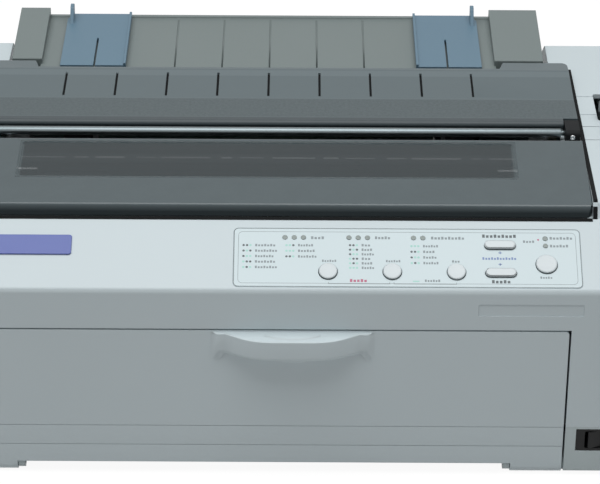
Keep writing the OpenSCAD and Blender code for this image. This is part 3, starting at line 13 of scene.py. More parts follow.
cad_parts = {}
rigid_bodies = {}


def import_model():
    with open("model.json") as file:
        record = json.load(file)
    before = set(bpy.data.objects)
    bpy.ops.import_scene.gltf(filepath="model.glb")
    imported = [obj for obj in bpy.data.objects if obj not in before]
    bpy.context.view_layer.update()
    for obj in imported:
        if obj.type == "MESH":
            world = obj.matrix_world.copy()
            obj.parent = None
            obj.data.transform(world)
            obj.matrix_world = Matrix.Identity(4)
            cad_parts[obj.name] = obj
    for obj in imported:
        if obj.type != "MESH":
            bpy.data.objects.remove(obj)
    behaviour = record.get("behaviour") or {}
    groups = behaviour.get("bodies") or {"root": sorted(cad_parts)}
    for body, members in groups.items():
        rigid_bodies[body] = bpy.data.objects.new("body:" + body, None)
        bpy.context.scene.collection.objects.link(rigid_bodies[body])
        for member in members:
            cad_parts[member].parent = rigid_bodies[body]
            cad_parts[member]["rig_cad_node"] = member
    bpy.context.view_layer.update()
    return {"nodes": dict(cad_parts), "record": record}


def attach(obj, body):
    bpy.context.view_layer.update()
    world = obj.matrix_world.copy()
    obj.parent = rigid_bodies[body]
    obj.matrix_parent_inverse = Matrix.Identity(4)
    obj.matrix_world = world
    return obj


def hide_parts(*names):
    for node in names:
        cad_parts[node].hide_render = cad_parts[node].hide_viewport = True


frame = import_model()
node = frame["nodes"]
mm = 0.001

# ---- camera -------------------------------------------------------------------------
# A long lens 1.7 m from the printer, looking down at it from the front. The picture
# cuts both sides off.

lens_mm = 156.36
look_down = math.radians(28.96)
roll = math.radians(0.3)

camera_data = bpy.data.cameras.new("camera")
camera_data.lens = lens_mm
camera_data.sensor_width = 36
camera = bpy.data.objects.new("camera", camera_data)
camera.matrix_world = (
    Matrix.Translation((0, -1.4383, 0.8614))
    @ Matrix.Rotation(math.radians(90) - look_down, 4, "X")
    @ Matrix.Rotation(roll, 4, "Z")
)
bpy.context.scene.collection.objects.link(camera)
bpy.context.scene.camera = camera
bpy.context.scene.view_settings.view_transform = "Standard"

# ---- white studio floor, room and lamps ------------------------------------------------
# A white paper sweep under one large soft light overhead. What the lens and the
# reflections see of it is white, and it still carries the printer's shadow.


def linear(code):
    """Turns an sRGB hex colour into the linear colour that a shader takes."""
    parts = [int(code[i : i + 2], 16) / 255 for i in (0, 2, 4)]
    return [c / 12.92 if c < 0.04045 else ((c + 0.055) / 1.055) ** 2.4 for c in parts] + [1.0]


def add(tree, kind, settings={}, links={}):
    """Adds a node. A setting is a property by name or an input by name or number."""
    made = tree.nodes.new(kind)
    for name, value in settings.items():
        if isinstance(name, int) or name in made.inputs:
            made.inputs[name].default_value = value
        else:
            setattr(made, name, value)
    for name, source in links.items():
        tree.links.new(source, made.inputs[name])
    return made


room_light = 0.27

world = bpy.data.worlds.new("white studio")
bpy.context.scene.world = world
world.use_nodes = True
tree = world.node_tree
tree.nodes.clear()
rays = add(tree, "ShaderNodeLightPath")
seen = add(
    tree,
    "ShaderNodeMath",
    {"operation": "MAXIMUM"},
    {0: rays.outputs["Is Camera Ray"], 1: rays.outputs["Is Glossy Ray"]},
)
seen = add(
    tree,
    "ShaderNodeMath",
    {"operation": "MAXIMUM"},
    {0: seen.outputs[0], 1: rays.outputs["Is Transmission Ray"]},
)
level = add(
    tree,
    "ShaderNodeMapRange",
    {"To Min": room_light, "To Max": 1.0},
    {"Value": seen.outputs[0]},
)
sky = add(tree, "ShaderNodeBackground", {"Color": (1, 1, 1, 1)}, {"Strength": level.outputs[0]})
add(tree, "ShaderNodeOutputWorld", {}, {"Surface": sky.outputs[0]})

bpy.ops.object.select_all(action="DESELECT")
bpy.ops.mesh.primitive_plane_add(size=12, location=(0, 0, 0))
floor = bpy.context.object
floor.name = "paper_sweep"
sweep = bpy.data.materials.new("white paper sweep")
sweep.use_nodes = True
tree = sweep.node_tree
tree.nodes.clear()
rays = add(tree, "ShaderNodeLightPath")
seen = add(
    tree,
    "ShaderNodeMath",
    {"operation": "MAXIMUM"},
    {0: rays.outputs["Is Camera Ray"], 1: rays.outputs["Is Glossy Ray"]},
)
seen = add(
    tree,
    "ShaderNodeMath",
    {"operation": "MAXIMUM"},
    {0: seen.outputs[0], 1: rays.outputs["Is Transmission Ray"]},
)
bounce = add(tree, "ShaderNodeBsdfDiffuse", {"Color": (0.5, 0.5, 0.5, 1)})
paper = add(tree, "ShaderNodeBsdfDiffuse", {"Color": (0.12, 0.12, 0.12, 1)})
white = add(tree, "ShaderNodeEmission", {"Color": (1, 1, 1, 1), "Strength": 0.93})
lit = add(tree, "ShaderNodeAddShader", {}, {0: paper.outputs[0], 1: white.outputs[0]})
both = add(
    tree,
    "ShaderNodeMixShader",
    {},
    {0: seen.outputs[0], 1: bounce.outputs[0], 2: lit.outputs[0]},
)
add(tree, "ShaderNodeOutputMaterial", {}, {"Surface": both.outputs[0]})
floor.data.materials.append(sweep)

lamp_data = bpy.data.lights.new("overhead softbox", "AREA")
lamp_data.shape = "RECTANGLE"
lamp_data.size = 2.2
lamp_data.size_y = 1.6
lamp_data.energy = 34.5
lamp = bpy.data.objects.new("overhead_softbox", lamp_data)
lamp.location = (-0.1, -0.5, 1.9)
lamp.rotation_euler = (math.radians(-15), math.radians(-3), 0)
bpy.context.scene.collection.objects.link(lamp)

# ---- lower tray, feet and screws -------------------------------------------------------
# The tray is injection-moulded ABS in a grey a shade under the upper case. Four rubber
# feet are plugged into its floor, and four zinc-plated screws hold the upper case.

front_face = -163


def at(x, y, z):
    """A place in millimetres, with y counted from the front face, in the row frame."""
    return Vector((x * mm, (front_face + y) * mm, z * mm))


def new_material(name):
    """A material with its tree, its shader and the object's own coordinates."""
    material = bpy.data.materials.new(name)
    material.use_nodes = True
    tree = material.node_tree
    shader = tree.nodes["Principled BSDF"]
    place = add(tree, "ShaderNodeTexCoord").outputs["Object"]
    return material, tree, shader, place


def moulded(name, base, cloud, rough, grain_mm=1.6, depth=0.04, edge_mm=0.5):
    """Moulded plastic: a faint cloud from the flow in the mould, an etched grain in the
    gloss and the relief, and edges that catch the light as softened ones do."""
    material, tree, shader, place = new_material(name)
    flow = add(tree, "ShaderNodeTexNoise", {"Scale": 1 / (90 * mm), "Detail": 3.0}, {"Vector": place})
    colour = add(
        tree,
        "ShaderNodeMix",
        {"data_type": "RGBA", 6: linear(base), 7: linear(cloud)},
        {0: flow.outputs["Fac"]},
    )
    grain = add(
        tree,
        "ShaderNodeTexNoise",
        {"Scale": 1 / (grain_mm * mm), "Detail": 4.0, "Roughness": 0.6},
        {"Vector": place},
    )
    gloss = add(
        tree,
        "ShaderNodeMapRange",
        {"To Min": rough - 0.05, "To Max": rough + 0.05},
        {"Value": grain.outputs["Fac"]},
    )
    soft_edge = add(tree, "ShaderNodeBevel", {"samples": 4, "Radius": edge_mm * mm})
    relief = add(
        tree,
        "ShaderNodeBump",
        {"Strength": depth, "Distance": 0.2 * mm},
        {"Height": grain.outputs["Fac"], "Normal": soft_edge.outputs[0]},
    )
    tree.links.new(colour.outputs[2], shader.inputs["Base Color"])
    tree.links.new(gloss.outputs[0], shader.inputs["Roughness"])
    tree.links.new(relief.outputs[0], shader.inputs["Normal"])
    shader.inputs["IOR"].default_value = 1.5
    return material


body_of = {n: body for body, members in frame["record"]["behaviour"]["bodies"].items() for n in members}


def dress(name, material, angle=30, soften_mm=0.0, reshape=None):
    """Copies a CAD node, merges it, reshapes it or softens its edges where asked, shades
    it smooth and lets it stand for the node."""
    bpy.ops.object.select_all(action="DESELECT")
    node[name].select_set(True)
    bpy.context.view_layer.objects.active = node[name]
    bpy.ops.object.duplicate()
    piece = bpy.context.object
    piece.name = name + "_piece"
    del piece["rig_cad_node"]
    bpy.ops.object.mode_set(mode="EDIT")
    bpy.ops.mesh.select_all(action="SELECT")
    bpy.ops.mesh.remove_doubles(threshold=0.001 * mm)
    bpy.ops.mesh.dissolve_limited(angle_limit=math.radians(0.3))
    bpy.ops.object.mode_set(mode="OBJECT")
    if reshape:
        reshape(piece)
    if soften_mm:
        soften = piece.modifiers.new("soft edges", "BEVEL")
        soften.width = soften_mm * mm
        soften.segments = 2
        soften.limit_method = "ANGLE"
        soften.angle_limit = math.radians(35)
        bpy.ops.object.modifier_apply(modifier=soften.name)
    bpy.ops.object.shade_smooth_by_angle(angle=math.radians(angle))
    flat = piece.modifiers.new("flat faces stay flat", "WEIGHTED_NORMAL")
    flat.weight = 100
    flat.keep_sharp = True
    bpy.ops.object.modifier_apply(modifier=flat.name)
    piece.data.materials.clear()
    piece.data.materials.append(material)
    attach(piece, body_of[name])
    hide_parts(name)
    return piece


# Spark-eroded ABS: dull, with a very fine even grain. The grain is drawn at 1.6 mm, as
# the real 0.2 mm would not show.
tray_plastic = moulded("grained ABS, tray grey", "BCC8CA", "B6C2C4", 0.5)
dress("base_tray", tray_plastic)


def rubber(name, base, wear_and_shade):
    """Moulded rubber: nearly black and dull, with dust in its pores."""
    material, tree, shader, place = new_material(name)
    dust = add(
        tree,
        "ShaderNodeTexNoise",
        {"Scale": 1 / (5 * mm), "Detail": 6.0, "Roughness": 0.7},
        {"Vector": place},
    )
    amount = add(
        tree,
        "ShaderNodeMapRange",
        {"From Min": 0.45, "From Max": 0.8},
        {"Value": dust.outputs["Fac"]},
    )
    colour = add(
        tree,
        "ShaderNodeMix",
        {"data_type": "RGBA", 6: linear(base), 7: linear(wear_and_shade)},
        {0: amount.outputs[0]},
    )
    relief = add(
        tree,
        "ShaderNodeBump",
        {"Strength": 0.15, "Distance": 0.2 * mm},
        {"Height": dust.outputs["Fac"]},
    )
    gloss = add(
        tree, "ShaderNodeMapRange", {"To Min": 0.62, "To Max": 0.8}, {"Value": dust.outputs["Fac"]}
    )
    tree.links.new(colour.outputs[2], shader.inputs["Base Color"])
    tree.links.new(gloss.outputs[0], shader.inputs["Roughness"])
    tree.links.new(relief.outputs[0], shader.inputs["Normal"])
    return material


foot_rubber = rubber("moulded rubber, black", "26282A", "3A3C3D")
dress("rubber_feet", foot_rubber, soften_mm=0.5)


def bare_metal(name, base, cloud, rough, draw, streak_mm, depth=0.05):
    """Bare metal: fine marks along the way it was drawn, ground or rolled. draw is how
    far the marks are pulled out along each axis."""
    material, tree, shader, place = new_material(name)
    pulled = add(
        tree,
        "ShaderNodeMapping",
        {"Scale": [1 / (streak_mm * mm * d) for d in draw]},
        {"Vector": place},
    )
    marks = add(
        tree,
        "ShaderNodeTexNoise",
        {"Scale": 1.0, "Detail": 5.0, "Roughness": 0.6},
        {"Vector": pulled.outputs[0]},
    )
    haze = add(tree, "ShaderNodeTexNoise", {"Scale": 1 / (25 * mm), "Detail": 3.0}, {"Vector": place})
    colour = add(
        tree,
        "ShaderNodeMix",
        {"data_type": "RGBA", 6: linear(base), 7: linear(cloud)},
        {0: haze.outputs["Fac"]},
    )
    gloss = add(
        tree,
        "ShaderNodeMapRange",
        {"To Min": rough - 0.06, "To Max": rough + 0.08},
        {"Value": marks.outputs["Fac"]},
    )
    soft_edge = add(tree, "ShaderNodeBevel", {"samples": 4, "Radius": 0.2 * mm})
    relief = add(
        tree,
        "ShaderNodeBump",
        {"Strength": depth, "Distance": 0.1 * mm},
        {"Height": marks.outputs["Fac"], "Normal": soft_edge.outputs[0]},
    )
    tree.links.new(colour.outputs[2], shader.inputs["Base Color"])
    tree.links.new(gloss.outputs[0], shader.inputs["Roughness"])
    tree.links.new(relief.outputs[0], shader.inputs["Normal"])
    shader.inputs["Metallic"].default_value = 1.0
    return material


# Zinc-plated steel sheet: grey, half dull, with a cloudy plating and faint rolling marks.
zinc_sheet = bare_metal("zinc-plated rolled steel", "A9AFB3", "C3C8CB", 0.36, (1, 14, 3), 1.5)
dress("case_screws", zinc_sheet)

# ---- boards, mains inlet and data ports ------------------------------------------------
# Two circuit boards stand on posts at the back of the tray: a green one for the logic
# and a brown one for the supply. Their sockets look out through the back wall.


def circuit_board(name, mask_colour, mask_shade, part_colour, board_top):
    """A circuit board: solder mask over etched tracks, with the parts above it dark."""
    material, tree, shader, place = new_material(name)
    tracks = add(
        tree,
        "ShaderNodeTexBrick",
        {
            "Scale": 1 / (26 * mm),
            "Mortar Size": 0.012,
            "Mortar Smooth": 0.1,
            "Color1": linear(mask_colour),
            "Color2": linear(mask_shade),
            "Mortar": linear("8FA06A"),
        },
        {"Vector": place},
    )
    height = add(tree, "ShaderNodeSeparateXYZ", {}, {0: place})
    above = add(
        tree,
        "ShaderNodeMath",
        {"operation": "GREATER_THAN", 1: (board_top + 0.1) * mm},
        {0: height.outputs["Z"]},
    )
    colour = add(
        tree,
        "ShaderNodeMix",
        {"data_type": "RGBA", 7: linear(part_colour)},
        {0: above.outputs[0], 6: tracks.outputs["Color"]},
    )
    speck = add(tree, "ShaderNodeTexNoise", {"Scale": 1 / (2 * mm), "Detail": 3.0}, {"Vector": place})
    gloss = add(
        tree, "ShaderNodeMapRange", {"To Min": 0.25, "To Max": 0.45}, {"Value": speck.outputs["Fac"]}
    )
    relief = add(
        tree,
        "ShaderNodeBump",
        {"Strength": 0.2, "Distance": 0.1 * mm},
        {"Height": tracks.outputs["Fac"]},
    )
    tree.links.new(colour.outputs[2], shader.inputs["Base Color"])
    tree.links.new(gloss.outputs[0], shader.inputs["Roughness"])
    tree.links.new(relief.outputs[0], shader.inputs["Normal"])
    return material


main_board_top = 31.6
power_board_top = 25.6
logic_board = circuit_board("glass-epoxy board, green mask", "1F5A38", "24643E", "1B1C1E", main_board_top)
supply_board = circuit_board("phenolic board, brown", "7A6230", "6E572B", "26313F", power_board_top)
dress("main_board", logic_board)
dress("power_board", supply_board)

# Glass-filled nylon of the inlet: black, a little rough.
inlet_nylon = moulded("glass-filled nylon, black", "1B1C1D", "222324", 0.45, grain_mm=0.8)
dress("ac_inlet", inlet_nylon)

# The sockets' shells: pressed tinned steel, brighter than the zinc.
tin_shell = bare_metal("tinned pressed steel", "B4B9BC", "C6CACC", 0.3, (6, 1, 1), 1.0)
dress("interface_ports", tin_shell)

contact_brass = bare_metal("nickel-plated brass", "BDB79F", "C9C4B0", 0.25, (1, 5, 1), 0.8)
blade_places = [(100, 52.2), (107, 56.2), (114, 52.2)]
for number, (x, z) in enumerate(blade_places, 1):
    bpy.ops.object.select_all(action="DESELECT")
    bpy.ops.mesh.primitive_cube_add(size=1, location=at(x, 328, z))
    blade = bpy.context.object
    blade.name = f"inlet_blade_{number}"
    blade.scale = (2.2 * mm, 14.4 * mm, 4.2 * mm)
    bpy.ops.object.transform_apply(location=True, rotation=True, scale=True)
    soften = blade.modifiers.new("rounded edges", "BEVEL")
    soften.width = 0.5 * mm
    soften.segments = 3
    bpy.ops.object.modifier_apply(modifier=soften.name)
    bpy.ops.object.shade_smooth_by_angle(angle=math.radians(35))
    blade.data.materials.append(contact_brass)
    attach(blade, "case")

# ---- side frames, rail and carriage shaft ----------------------------------------------
# The mechanism hangs between two pressed steel side frames, joined by a folded rail and
# by the ground shaft that the carriage slides on.

dress("side_frame_left", zinc_sheet)
dress("side_frame_right", zinc_sheet)

# Phosphated steel of the rail and its tear bar: dark grey and dull.
dark_steel = bare_metal("phosphated steel", "34393B", "3C4143", 0.5, (14, 1, 3), 1.5)
dress("front_rail", dark_steel)

# White marks along the tear bar. They are a guess at the broken pale line that shows
# through the front cover's window.
mark_paint = moulded("white marking paint", "E4E8E8", "DDE2E2", 0.4, depth=0.0)
# Too little light reaches them in the render, so they glow a little, as real paint doesn't.
mark_shader = mark_paint.node_tree.nodes["Principled BSDF"]
mark_shader.inputs["Emission Color"].default_value = (1, 1, 1, 1)
mark_shader.inputs["Emission Strength"].default_value = 0.3
bar_rise, bar_run = 3.5, 2.5
bar_slope = math.atan2(bar_rise, bar_run)
bar_y, bar_z = 125.5, 144.1
mark_lengths = [(26, 5), (9, 4), (18, 7), (12, 3), (30, 6), (7, 4), (15, 5)]
mark_x, marks_end = -168.0, 130
bpy.ops.object.select_all(action="DESELECT")
marks = []
for number, (length, space) in enumerate(mark_lengths * 3):
    bpy.ops.mesh.primitive_plane_add(
        size=1, location=at(mark_x + length / 2, bar_y, bar_z), rotation=(bar_slope, 0, 0)
    )
    bpy.context.object.scale = (length * mm, (0.5 + 0.25 * (number % 3)) * mm, 1)
    marks.append(bpy.context.object)
    mark_x += length + space
    if mark_x > marks_end:
        break
for mark in marks:
    mark.select_set(True)
bpy.context.view_layer.objects.active = marks[0]
bpy.ops.object.join()
bpy.context.object.name = "tear_bar_marks"
bpy.ops.object.transform_apply(location=True, rotation=True, scale=True)
bpy.context.object.data.materials.append(mark_paint)
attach(bpy.context.object, "case")

# Ground and polished steel bar: bright, with marks that run round it.
ground_steel = bare_metal("centreless-ground steel", "C9CCCE", "D4D6D8", 0.16, (0.6, 5, 5), 0.8, 0.02)
dress("guide_shaft", ground_steel, soften_mm=0.3)

# ---- platen ----------------------------------------------------------------------------
# A hard rubber roller on a steel shaft, turned by hand with the knob on the right. It
# runs in two acetal bushes in the side frames.

platen_rubber = rubber("ground rubber, black", "2A2B2C", "353637")
dress("platen_roller", platen_rubber, soften_mm=0.6)
dress("platen_shaft", ground_steel, soften_mm=0.3)

# Natural acetal: milky white, waxy, with a soft sheen.
acetal = moulded("natural acetal", "E4E0D3", "DDD9CB", 0.35, grain_mm=3.0, depth=0.02, edge_mm=0.2)
dress("platen_bushes", acetal)

knob_plastic = moulded("grained ABS, dark grey", "3B4144", "42484B", 0.5)
dress("platen_knob", knob_plastic, soften_mm=0.35)

# ---- gear train and feed motor -------------------------------------------------------
# Spur gears outside the right frame lead from the motor's brass pinion to the platen
# and to the tractors. The gears are moulded acetal and turn on riveted studs.

for name in ("platen_gear", "idler_gear", "transfer_gear", "tractor_gear"):
    dress(name, acetal)

# Hobbed brass: warm yellow, bright on the teeth.
turned_brass = bare_metal("turned brass", "B9924C", "C6A25C", 0.25, (1, 4, 4), 0.8)
dress("motor_pinion", turned_brass)
dress("gear_studs", ground_steel)


def painted_metal(name, base, wear_and_shade):
    """Metal in black stove enamel: satin, with a slight orange-peel relief."""
    material, tree, shader, place = new_material(name)
    peel = add(tree, "ShaderNodeTexNoise", {"Scale": 1 / (2.2 * mm), "Detail": 1.0}, {"Vector": place})
    haze = add(tree, "ShaderNodeTexNoise", {"Scale": 1 / (18 * mm), "Detail": 5.0}, {"Vector": place})
    colour = add(
        tree,
        "ShaderNodeMix",
        {"data_type": "RGBA", 6: linear(base), 7: linear(wear_and_shade)},
        {0: haze.outputs["Fac"]},
    )
    gloss = add(
        tree, "ShaderNodeMapRange", {"To Min": 0.3, "To Max": 0.45}, {"Value": haze.outputs["Fac"]}
    )
    soft_edge = add(tree, "ShaderNodeBevel", {"samples": 4, "Radius": 0.4 * mm})
    relief = add(
        tree,
        "ShaderNodeBump",
        {"Strength": 0.08, "Distance": 0.2 * mm},
        {"Height": peel.outputs["Fac"], "Normal": soft_edge.outputs[0]},
    )
    tree.links.new(colour.outputs[2], shader.inputs["Base Color"])
    tree.links.new(gloss.outputs[0], shader.inputs["Roughness"])
    tree.links.new(relief.outputs[0], shader.inputs["Normal"])
    return material


motor_enamel = painted_metal("stove enamel, dark grey", "4A4F52", "565B5E")
dress("feed_motor", motor_enamel, soften_mm=0.8)

# ---- carriage, print head, ribbon and belt -------------------------------------------
# The carriage slides on the ground shaft and carries the print head with its cooling
# fins. The ribbon cartridge spans the frames. A toothed belt runs over two pulleys.

mechanism_plastic = moulded("glass-filled nylon, dark grey", "303437", "383C3F", 0.45, grain_mm=1.0)
dress("carriage", mechanism_plastic)

# Die-cast head body: blackened aluminium, half dull.
head_casting = painted_metal("blackened cast aluminium", "3A3E41", "484C4F")
dress("print_head", head_casting)

cartridge_plastic = moulded("polystyrene, black, satin", "232527", "292B2D", 0.38, grain_mm=2.0)
dress("ribbon_cartridge", cartridge_plastic)
dress("ribbon_knob", mechanism_plastic, soften_mm=0.3)
dress("carriage_motor", motor_enamel, soften_mm=0.8)
dress("drive_pulley", turned_brass)
dress("idle_pulley", acetal)
belt_rubber = rubber("fabric-backed rubber, black", "1E1F20", "2C2D2E")
dress("carriage_belt", belt_rubber)

# ---- tractors and paper chute --------------------------------------------------------
# Two tractors ride on a square drive shaft and a round rod. Their pins carry punched
# paper, held down by a hinged lid on each. A bent sheet leads the paper to the platen.

chute_plastic = moulded("ABS, mid grey, satin", "6B7275", "666D70", 0.42)
dress("paper_chute", chute_plastic)
dress("tractor_shaft", ground_steel)
dress("tractor_rod", ground_steel, soften_mm=0.3)
for name in ("tractor_left", "tractor_right"):
    dress(name, mechanism_plastic)
lid_plastic = moulded("ABS, dark grey, satin", "50565A", "565C60", 0.42)
for name in ("tractor_lids_left", "tractor_lids_right"):
    dress(name, lid_plastic)

# ---- upper case ------------------------------------------------------------------------
# The upper case is one large injection moulding in pale grained ABS, dull on top and in
# shade on its upright front.

case_plastic = moulded("grained ABS, pale grey", "CAD6DA", "C5D1D5", 0.5)
dress("upper_case", case_plastic)

# ---- control strip ---------------------------------------------------------------------
# A printed polyester sheet lies in a shallow recess of the slope. Under it a small board
# carries the switches and lights. The keys come up through holes in both.

# Screen-printed polyester sheet: cooler than the case, satin.
sheet_print = moulded(
    "printed polyester sheet", "C9D8DC", "C5D4D8", 0.35, grain_mm=3.0, depth=0.015, edge_mm=0.2
)
dress("panel_sheet", sheet_print)
dress("panel_board", logic_board)


def word(x0, x1, s, high):
    """A row of letter-wide bars, as a printed word shows from afar."""
    count = max(2, round((x1 - x0) / (0.95 * high)))
    step = (x1 - x0) / count
    rise = [0.5, 0.28, 0.3, 0.48, 0.26]
    return [
        (x0 + i * step, s - 0.45 * high, x0 + (i + 0.68) * step, s + rise[i % 5] * high)
        for i in range(count)
    ]


def printed(name, colour, bars, dots=(), rings=()):
    """One colour of the print, laid on the sheet as a thin film. Bars are (x0, s0, x1,
    s1), dots (x, s, radius), rings (x0, s0, x1, s1, line), with s up the slope."""
    made = []
    bpy.ops.object.select_all(action="DESELECT")
    for x0, s0, x1, s1 in bars:
        bpy.ops.mesh.primitive_plane_add(size=1, location=((x0 + x1) / 2 * mm, (s0 + s1) / 2 * mm, 0))
        bpy.context.object.scale = ((x1 - x0) * mm, (s1 - s0) * mm, 1)
        made.append(bpy.context.object)
    for x, s, radius in dots:
        bpy.ops.mesh.primitive_circle_add(
            vertices=14, radius=radius * mm, fill_type="NGON", location=(x * mm, s * mm, 0)
        )
        made.append(bpy.context.object)
    for x0, s0, x1, s1, line in rings:
        bpy.ops.mesh.primitive_plane_add(size=1, location=((x0 + x1) / 2 * mm, (s0 + s1) / 2 * mm, 0))
        ring = bpy.context.object
        ring.scale = ((x1 - x0) * mm, (s1 - s0) * mm, 1)
        bpy.ops.object.transform_apply(location=True, rotation=True, scale=True)
        bpy.ops.object.mode_set(mode="EDIT")
        bpy.ops.mesh.select_all(action="SELECT")
        bpy.ops.mesh.bevel(offset=2.6 * mm, segments=6, affect="VERTICES")
        bpy.ops.mesh.select_all(action="SELECT")
        bpy.ops.mesh.inset(thickness=line * mm)
        bpy.ops.mesh.delete(type="FACE")
        bpy.ops.object.mode_set(mode="OBJECT")
        made.append(ring)
    bpy.ops.object.select_all(action="DESELECT")
    for piece in made:
        piece.select_set(True)
    bpy.context.view_layer.objects.active = made[0]
    bpy.ops.object.join()
    film = bpy.context.object
    film.name = name
    bpy.ops.object.transform_apply(location=True, rotation=True, scale=True)
    slope = math.radians(28)
    film.rotation_euler = (slope, 0, 0)
    film.location = at(0, 0, 124) + Vector((0, -math.sin(slope), math.cos(slope))) * 0.235 * mm
    bpy.ops.object.transform_apply(location=True, rotation=True, scale=True)
    film.data.materials.append(colour)
    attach(film, "case")
    return film


# Screen-printing inks: thin, even and a little duller than the sheet they lie on.
ink_dark = moulded("screen ink, dark grey", "4C5558", "515A5D", 0.45, depth=0.0)
ink_grey = moulded("screen ink, mid grey", "808B8F", "869195", 0.45, depth=0.0)
ink_mint = moulded("screen ink, mint", "9FD0C6", "A4D3C9", 0.45, depth=0.0)
ink_red = moulded("screen ink, dull red", "B0607A", "B4667F", 0.45, depth=0.0)
ink_blue = moulded("screen ink, dull blue", "7288B2", "788DB6", 0.45, depth=0.0)

# Each table is a left edge, a lowest row, a row pitch and the three lamps row by row.
tables = [
    (-32.2, 15.8, 3.7, ["010", "011", "100", "101", "110"], 13.0),
    (-7.7, 23.1, 3.8, ["110", "000", "001"], 11.0),
    (28.6, 15.6, 3.06, ["000", "010", "011", "100", "101", "110"], 7.4),
    (63.7, 19.0, 3.83, ["010", "100", "110", "000"], 9.0),
]
on_dots, off_dots, row_words = [], [], []
for left, low, pitch, rows, word_length in tables:
    for number, row in enumerate(rows):
        s = low + number * pitch
        for place, lamp in enumerate(row):
            spot = (left + 1.95 * place, s, 0.72)
            (on_dots if lamp == "1" else off_dots).append(spot)
        row_words += word(left + 6.6, left + 6.6 + word_length - (number % 3), s, 1.7)

printed(
    "print_dark",
    ink_dark,
    word(104.3, 124.3, 37.5, 2.3) + word(108.9, 120.0, 6.7, 2.3),
    on_dots,
    [(-37.7, 2.9, 160.2, 42.2, 0.25)],
)
printed(
    "print_grey",
    ink_grey,
    row_words
    + word(6.3, 14.3, 35.8, 2.0)
    + word(42.9, 52.1, 36.0, 2.0)
    + word(75.0, 94.5, 36.0, 2.0)
    + word(142.9, 156.4, 36.3, 1.9)
    + word(142.9, 153.8, 31.0, 1.9)
    + word(127.6, 134.5, 33.9, 1.7)
    + word(12.6, 21.1, 20.2, 1.6)
    + word(49.0, 57.6, 20.2, 1.6)
    + word(86.6, 91.4, 20.2, 1.6)
    + word(136.5, 143.6, 9.6, 1.5)
    + word(70.9, 80.0, 7.1, 1.7)
    + [(16.0, 4.7, 51.1, 5.0), (53.2, 4.7, 89.0, 5.0)]
    + [(16.0, 5.0, 16.3, 6.0), (50.8, 5.0, 51.1, 6.0), (53.2, 5.0, 53.5, 6.0), (88.7, 5.0, 89.0, 6.0)],
    rings=[(-35.3, 5.0, 157.8, 40.0, 0.25)],
)
printed("print_mint", ink_mint, [(64.1, 6.3, 67.8, 7.1)], off_dots)
printed("print_red", ink_red, word(28.4, 38.6, 7.0, 2.1), [(136.3, 35.2, 0.6)])
printed(
    "print_blue",
    ink_blue,
    word(104.0, 123.7, 22.3, 1.8)
    + [(113.9, 25.4, 114.5, 27.1), (113.2, 25.9, 115.2, 26.4)]
    + [(113.7, 17.5, 114.3, 19.2), (113.0, 18.2, 115.0, 18.7)],
)

# Clear light pipes, unlit: pale green, glossy.
pipe_clear = moulded("clear polycarbonate light pipe", "7C8986", "6F7C79", 0.15, edge_mm=0.3)
dress("panel_lights", pipe_clear)

# Keys in the same ABS as the case, with a tighter grain, worn, shinier tops and painted shade
# down their sides, where they come out of the sheet: ambient occlusion darkens their colour there.
key_plastic = moulded("ABS key, pale grey", "D3DCDF", "CCD5D8", 0.38, grain_mm=1.0, edge_mm=0.9)
tree = key_plastic.node_tree
shader = tree.nodes["Principled BSDF"]
clean = shader.inputs["Base Color"].links[0].from_socket
# Painted shade: the keys' colour darkens by ambient occlusion near the sheet.
painted_shade = add(tree, "ShaderNodeAmbientOcclusion", {"samples": 8, "Distance": 4 * mm})
amount = add(
    tree, "ShaderNodeMapRange", {"From Min": 0.5, "From Max": 0.92}, {"Value": painted_shade.outputs["AO"]}
)
wear_and_shade = add(
    tree,
    "ShaderNodeMix",
    {"data_type": "RGBA", 6: linear("4E585C")},
    {0: amount.outputs[0], 7: clean},
)
tree.links.new(wear_and_shade.outputs[2], shader.inputs["Base Color"])
for name in ("button_1", "button_2", "button_3", "oval_button_1", "oval_button_2", "large_button"):
    dress(name, key_plastic, angle=40)

# ---- badge -----------------------------------------------------------------------------
# A bare blue plate in the left of the slope, pressed from coated aluminium.

badge_blue = moulded("blue coated aluminium", "4A5DA7", "4457A0", 0.3, grain_mm=4.0, depth=0.01)
dress("badge_plate", badge_blue, soften_mm=0.25)

# ---- power switch ----------------------------------------------------------------------
# A black rocker in a deep black bezel, low on the right of the front.

switch_plastic = moulded("nylon, black, satin", "0F1011", "151617", 0.4, grain_mm=1.2)
switch_plastic.node_tree.nodes["Principled BSDF"].inputs["Specular IOR Level"].default_value = 0.25
dress("switch_bezel", switch_plastic, soften_mm=0.3)
dress("power_rocker", switch_plastic, soften_mm=0.3)

# ---- front door and the paper bay behind it --------------------------------------------
# The door folds down on two hinge tabs. It is moulded in the case's grey, with a swelling
# that the fingers pull at. Behind it a ribbed sheet leads single forms up to the platen.

pull_squash = 0.66
pull_low = 60
flare_reach = 1.02
most_out = 1.5


def flare_pull(door):
    """Makes the pull flatter than the CAD model's and turns the ends of its arc into an
    S, so that it grows out of the door as in the photograph."""
    front = front_face * mm
    pull = [v.co for v in door.data.vertices if v.co.y < front + 0.02 * mm and v.co.z > pull_low * mm]
    swell = [co for co in pull if co.y < front - 0.02 * mm]
    left, right = min(co.x for co in swell), max(co.x for co in swell)
    middle, half = (left + right) / 2, (right - left) / 2
    out = front - min(co.y for co in swell)
    top = max(co.z for co in swell)
    radius = (half**2 + out**2) / (2 * out)
    for co in pull:
        if abs(co.x - middle) > half + 0.01 * mm or co.z > top + 0.01 * mm:
            continue
        across = min(abs(co.x - middle), half)
        arc = math.sqrt(radius**2 - across**2) - (radius - out)
        flare = out * (0.5 + 0.5 * math.cos(math.pi * (across / half / flare_reach) ** 2))
        swollen = (front - co.y) * min(most_out, flare / max(arc, 0.001 * mm))
        co.y = front - min(out, swollen)
        co.z = top - (top - co.z) * pull_squash


dress("front_door", case_plastic, angle=50, reshape=flare_pull)
dress("front_chute", chute_plastic)

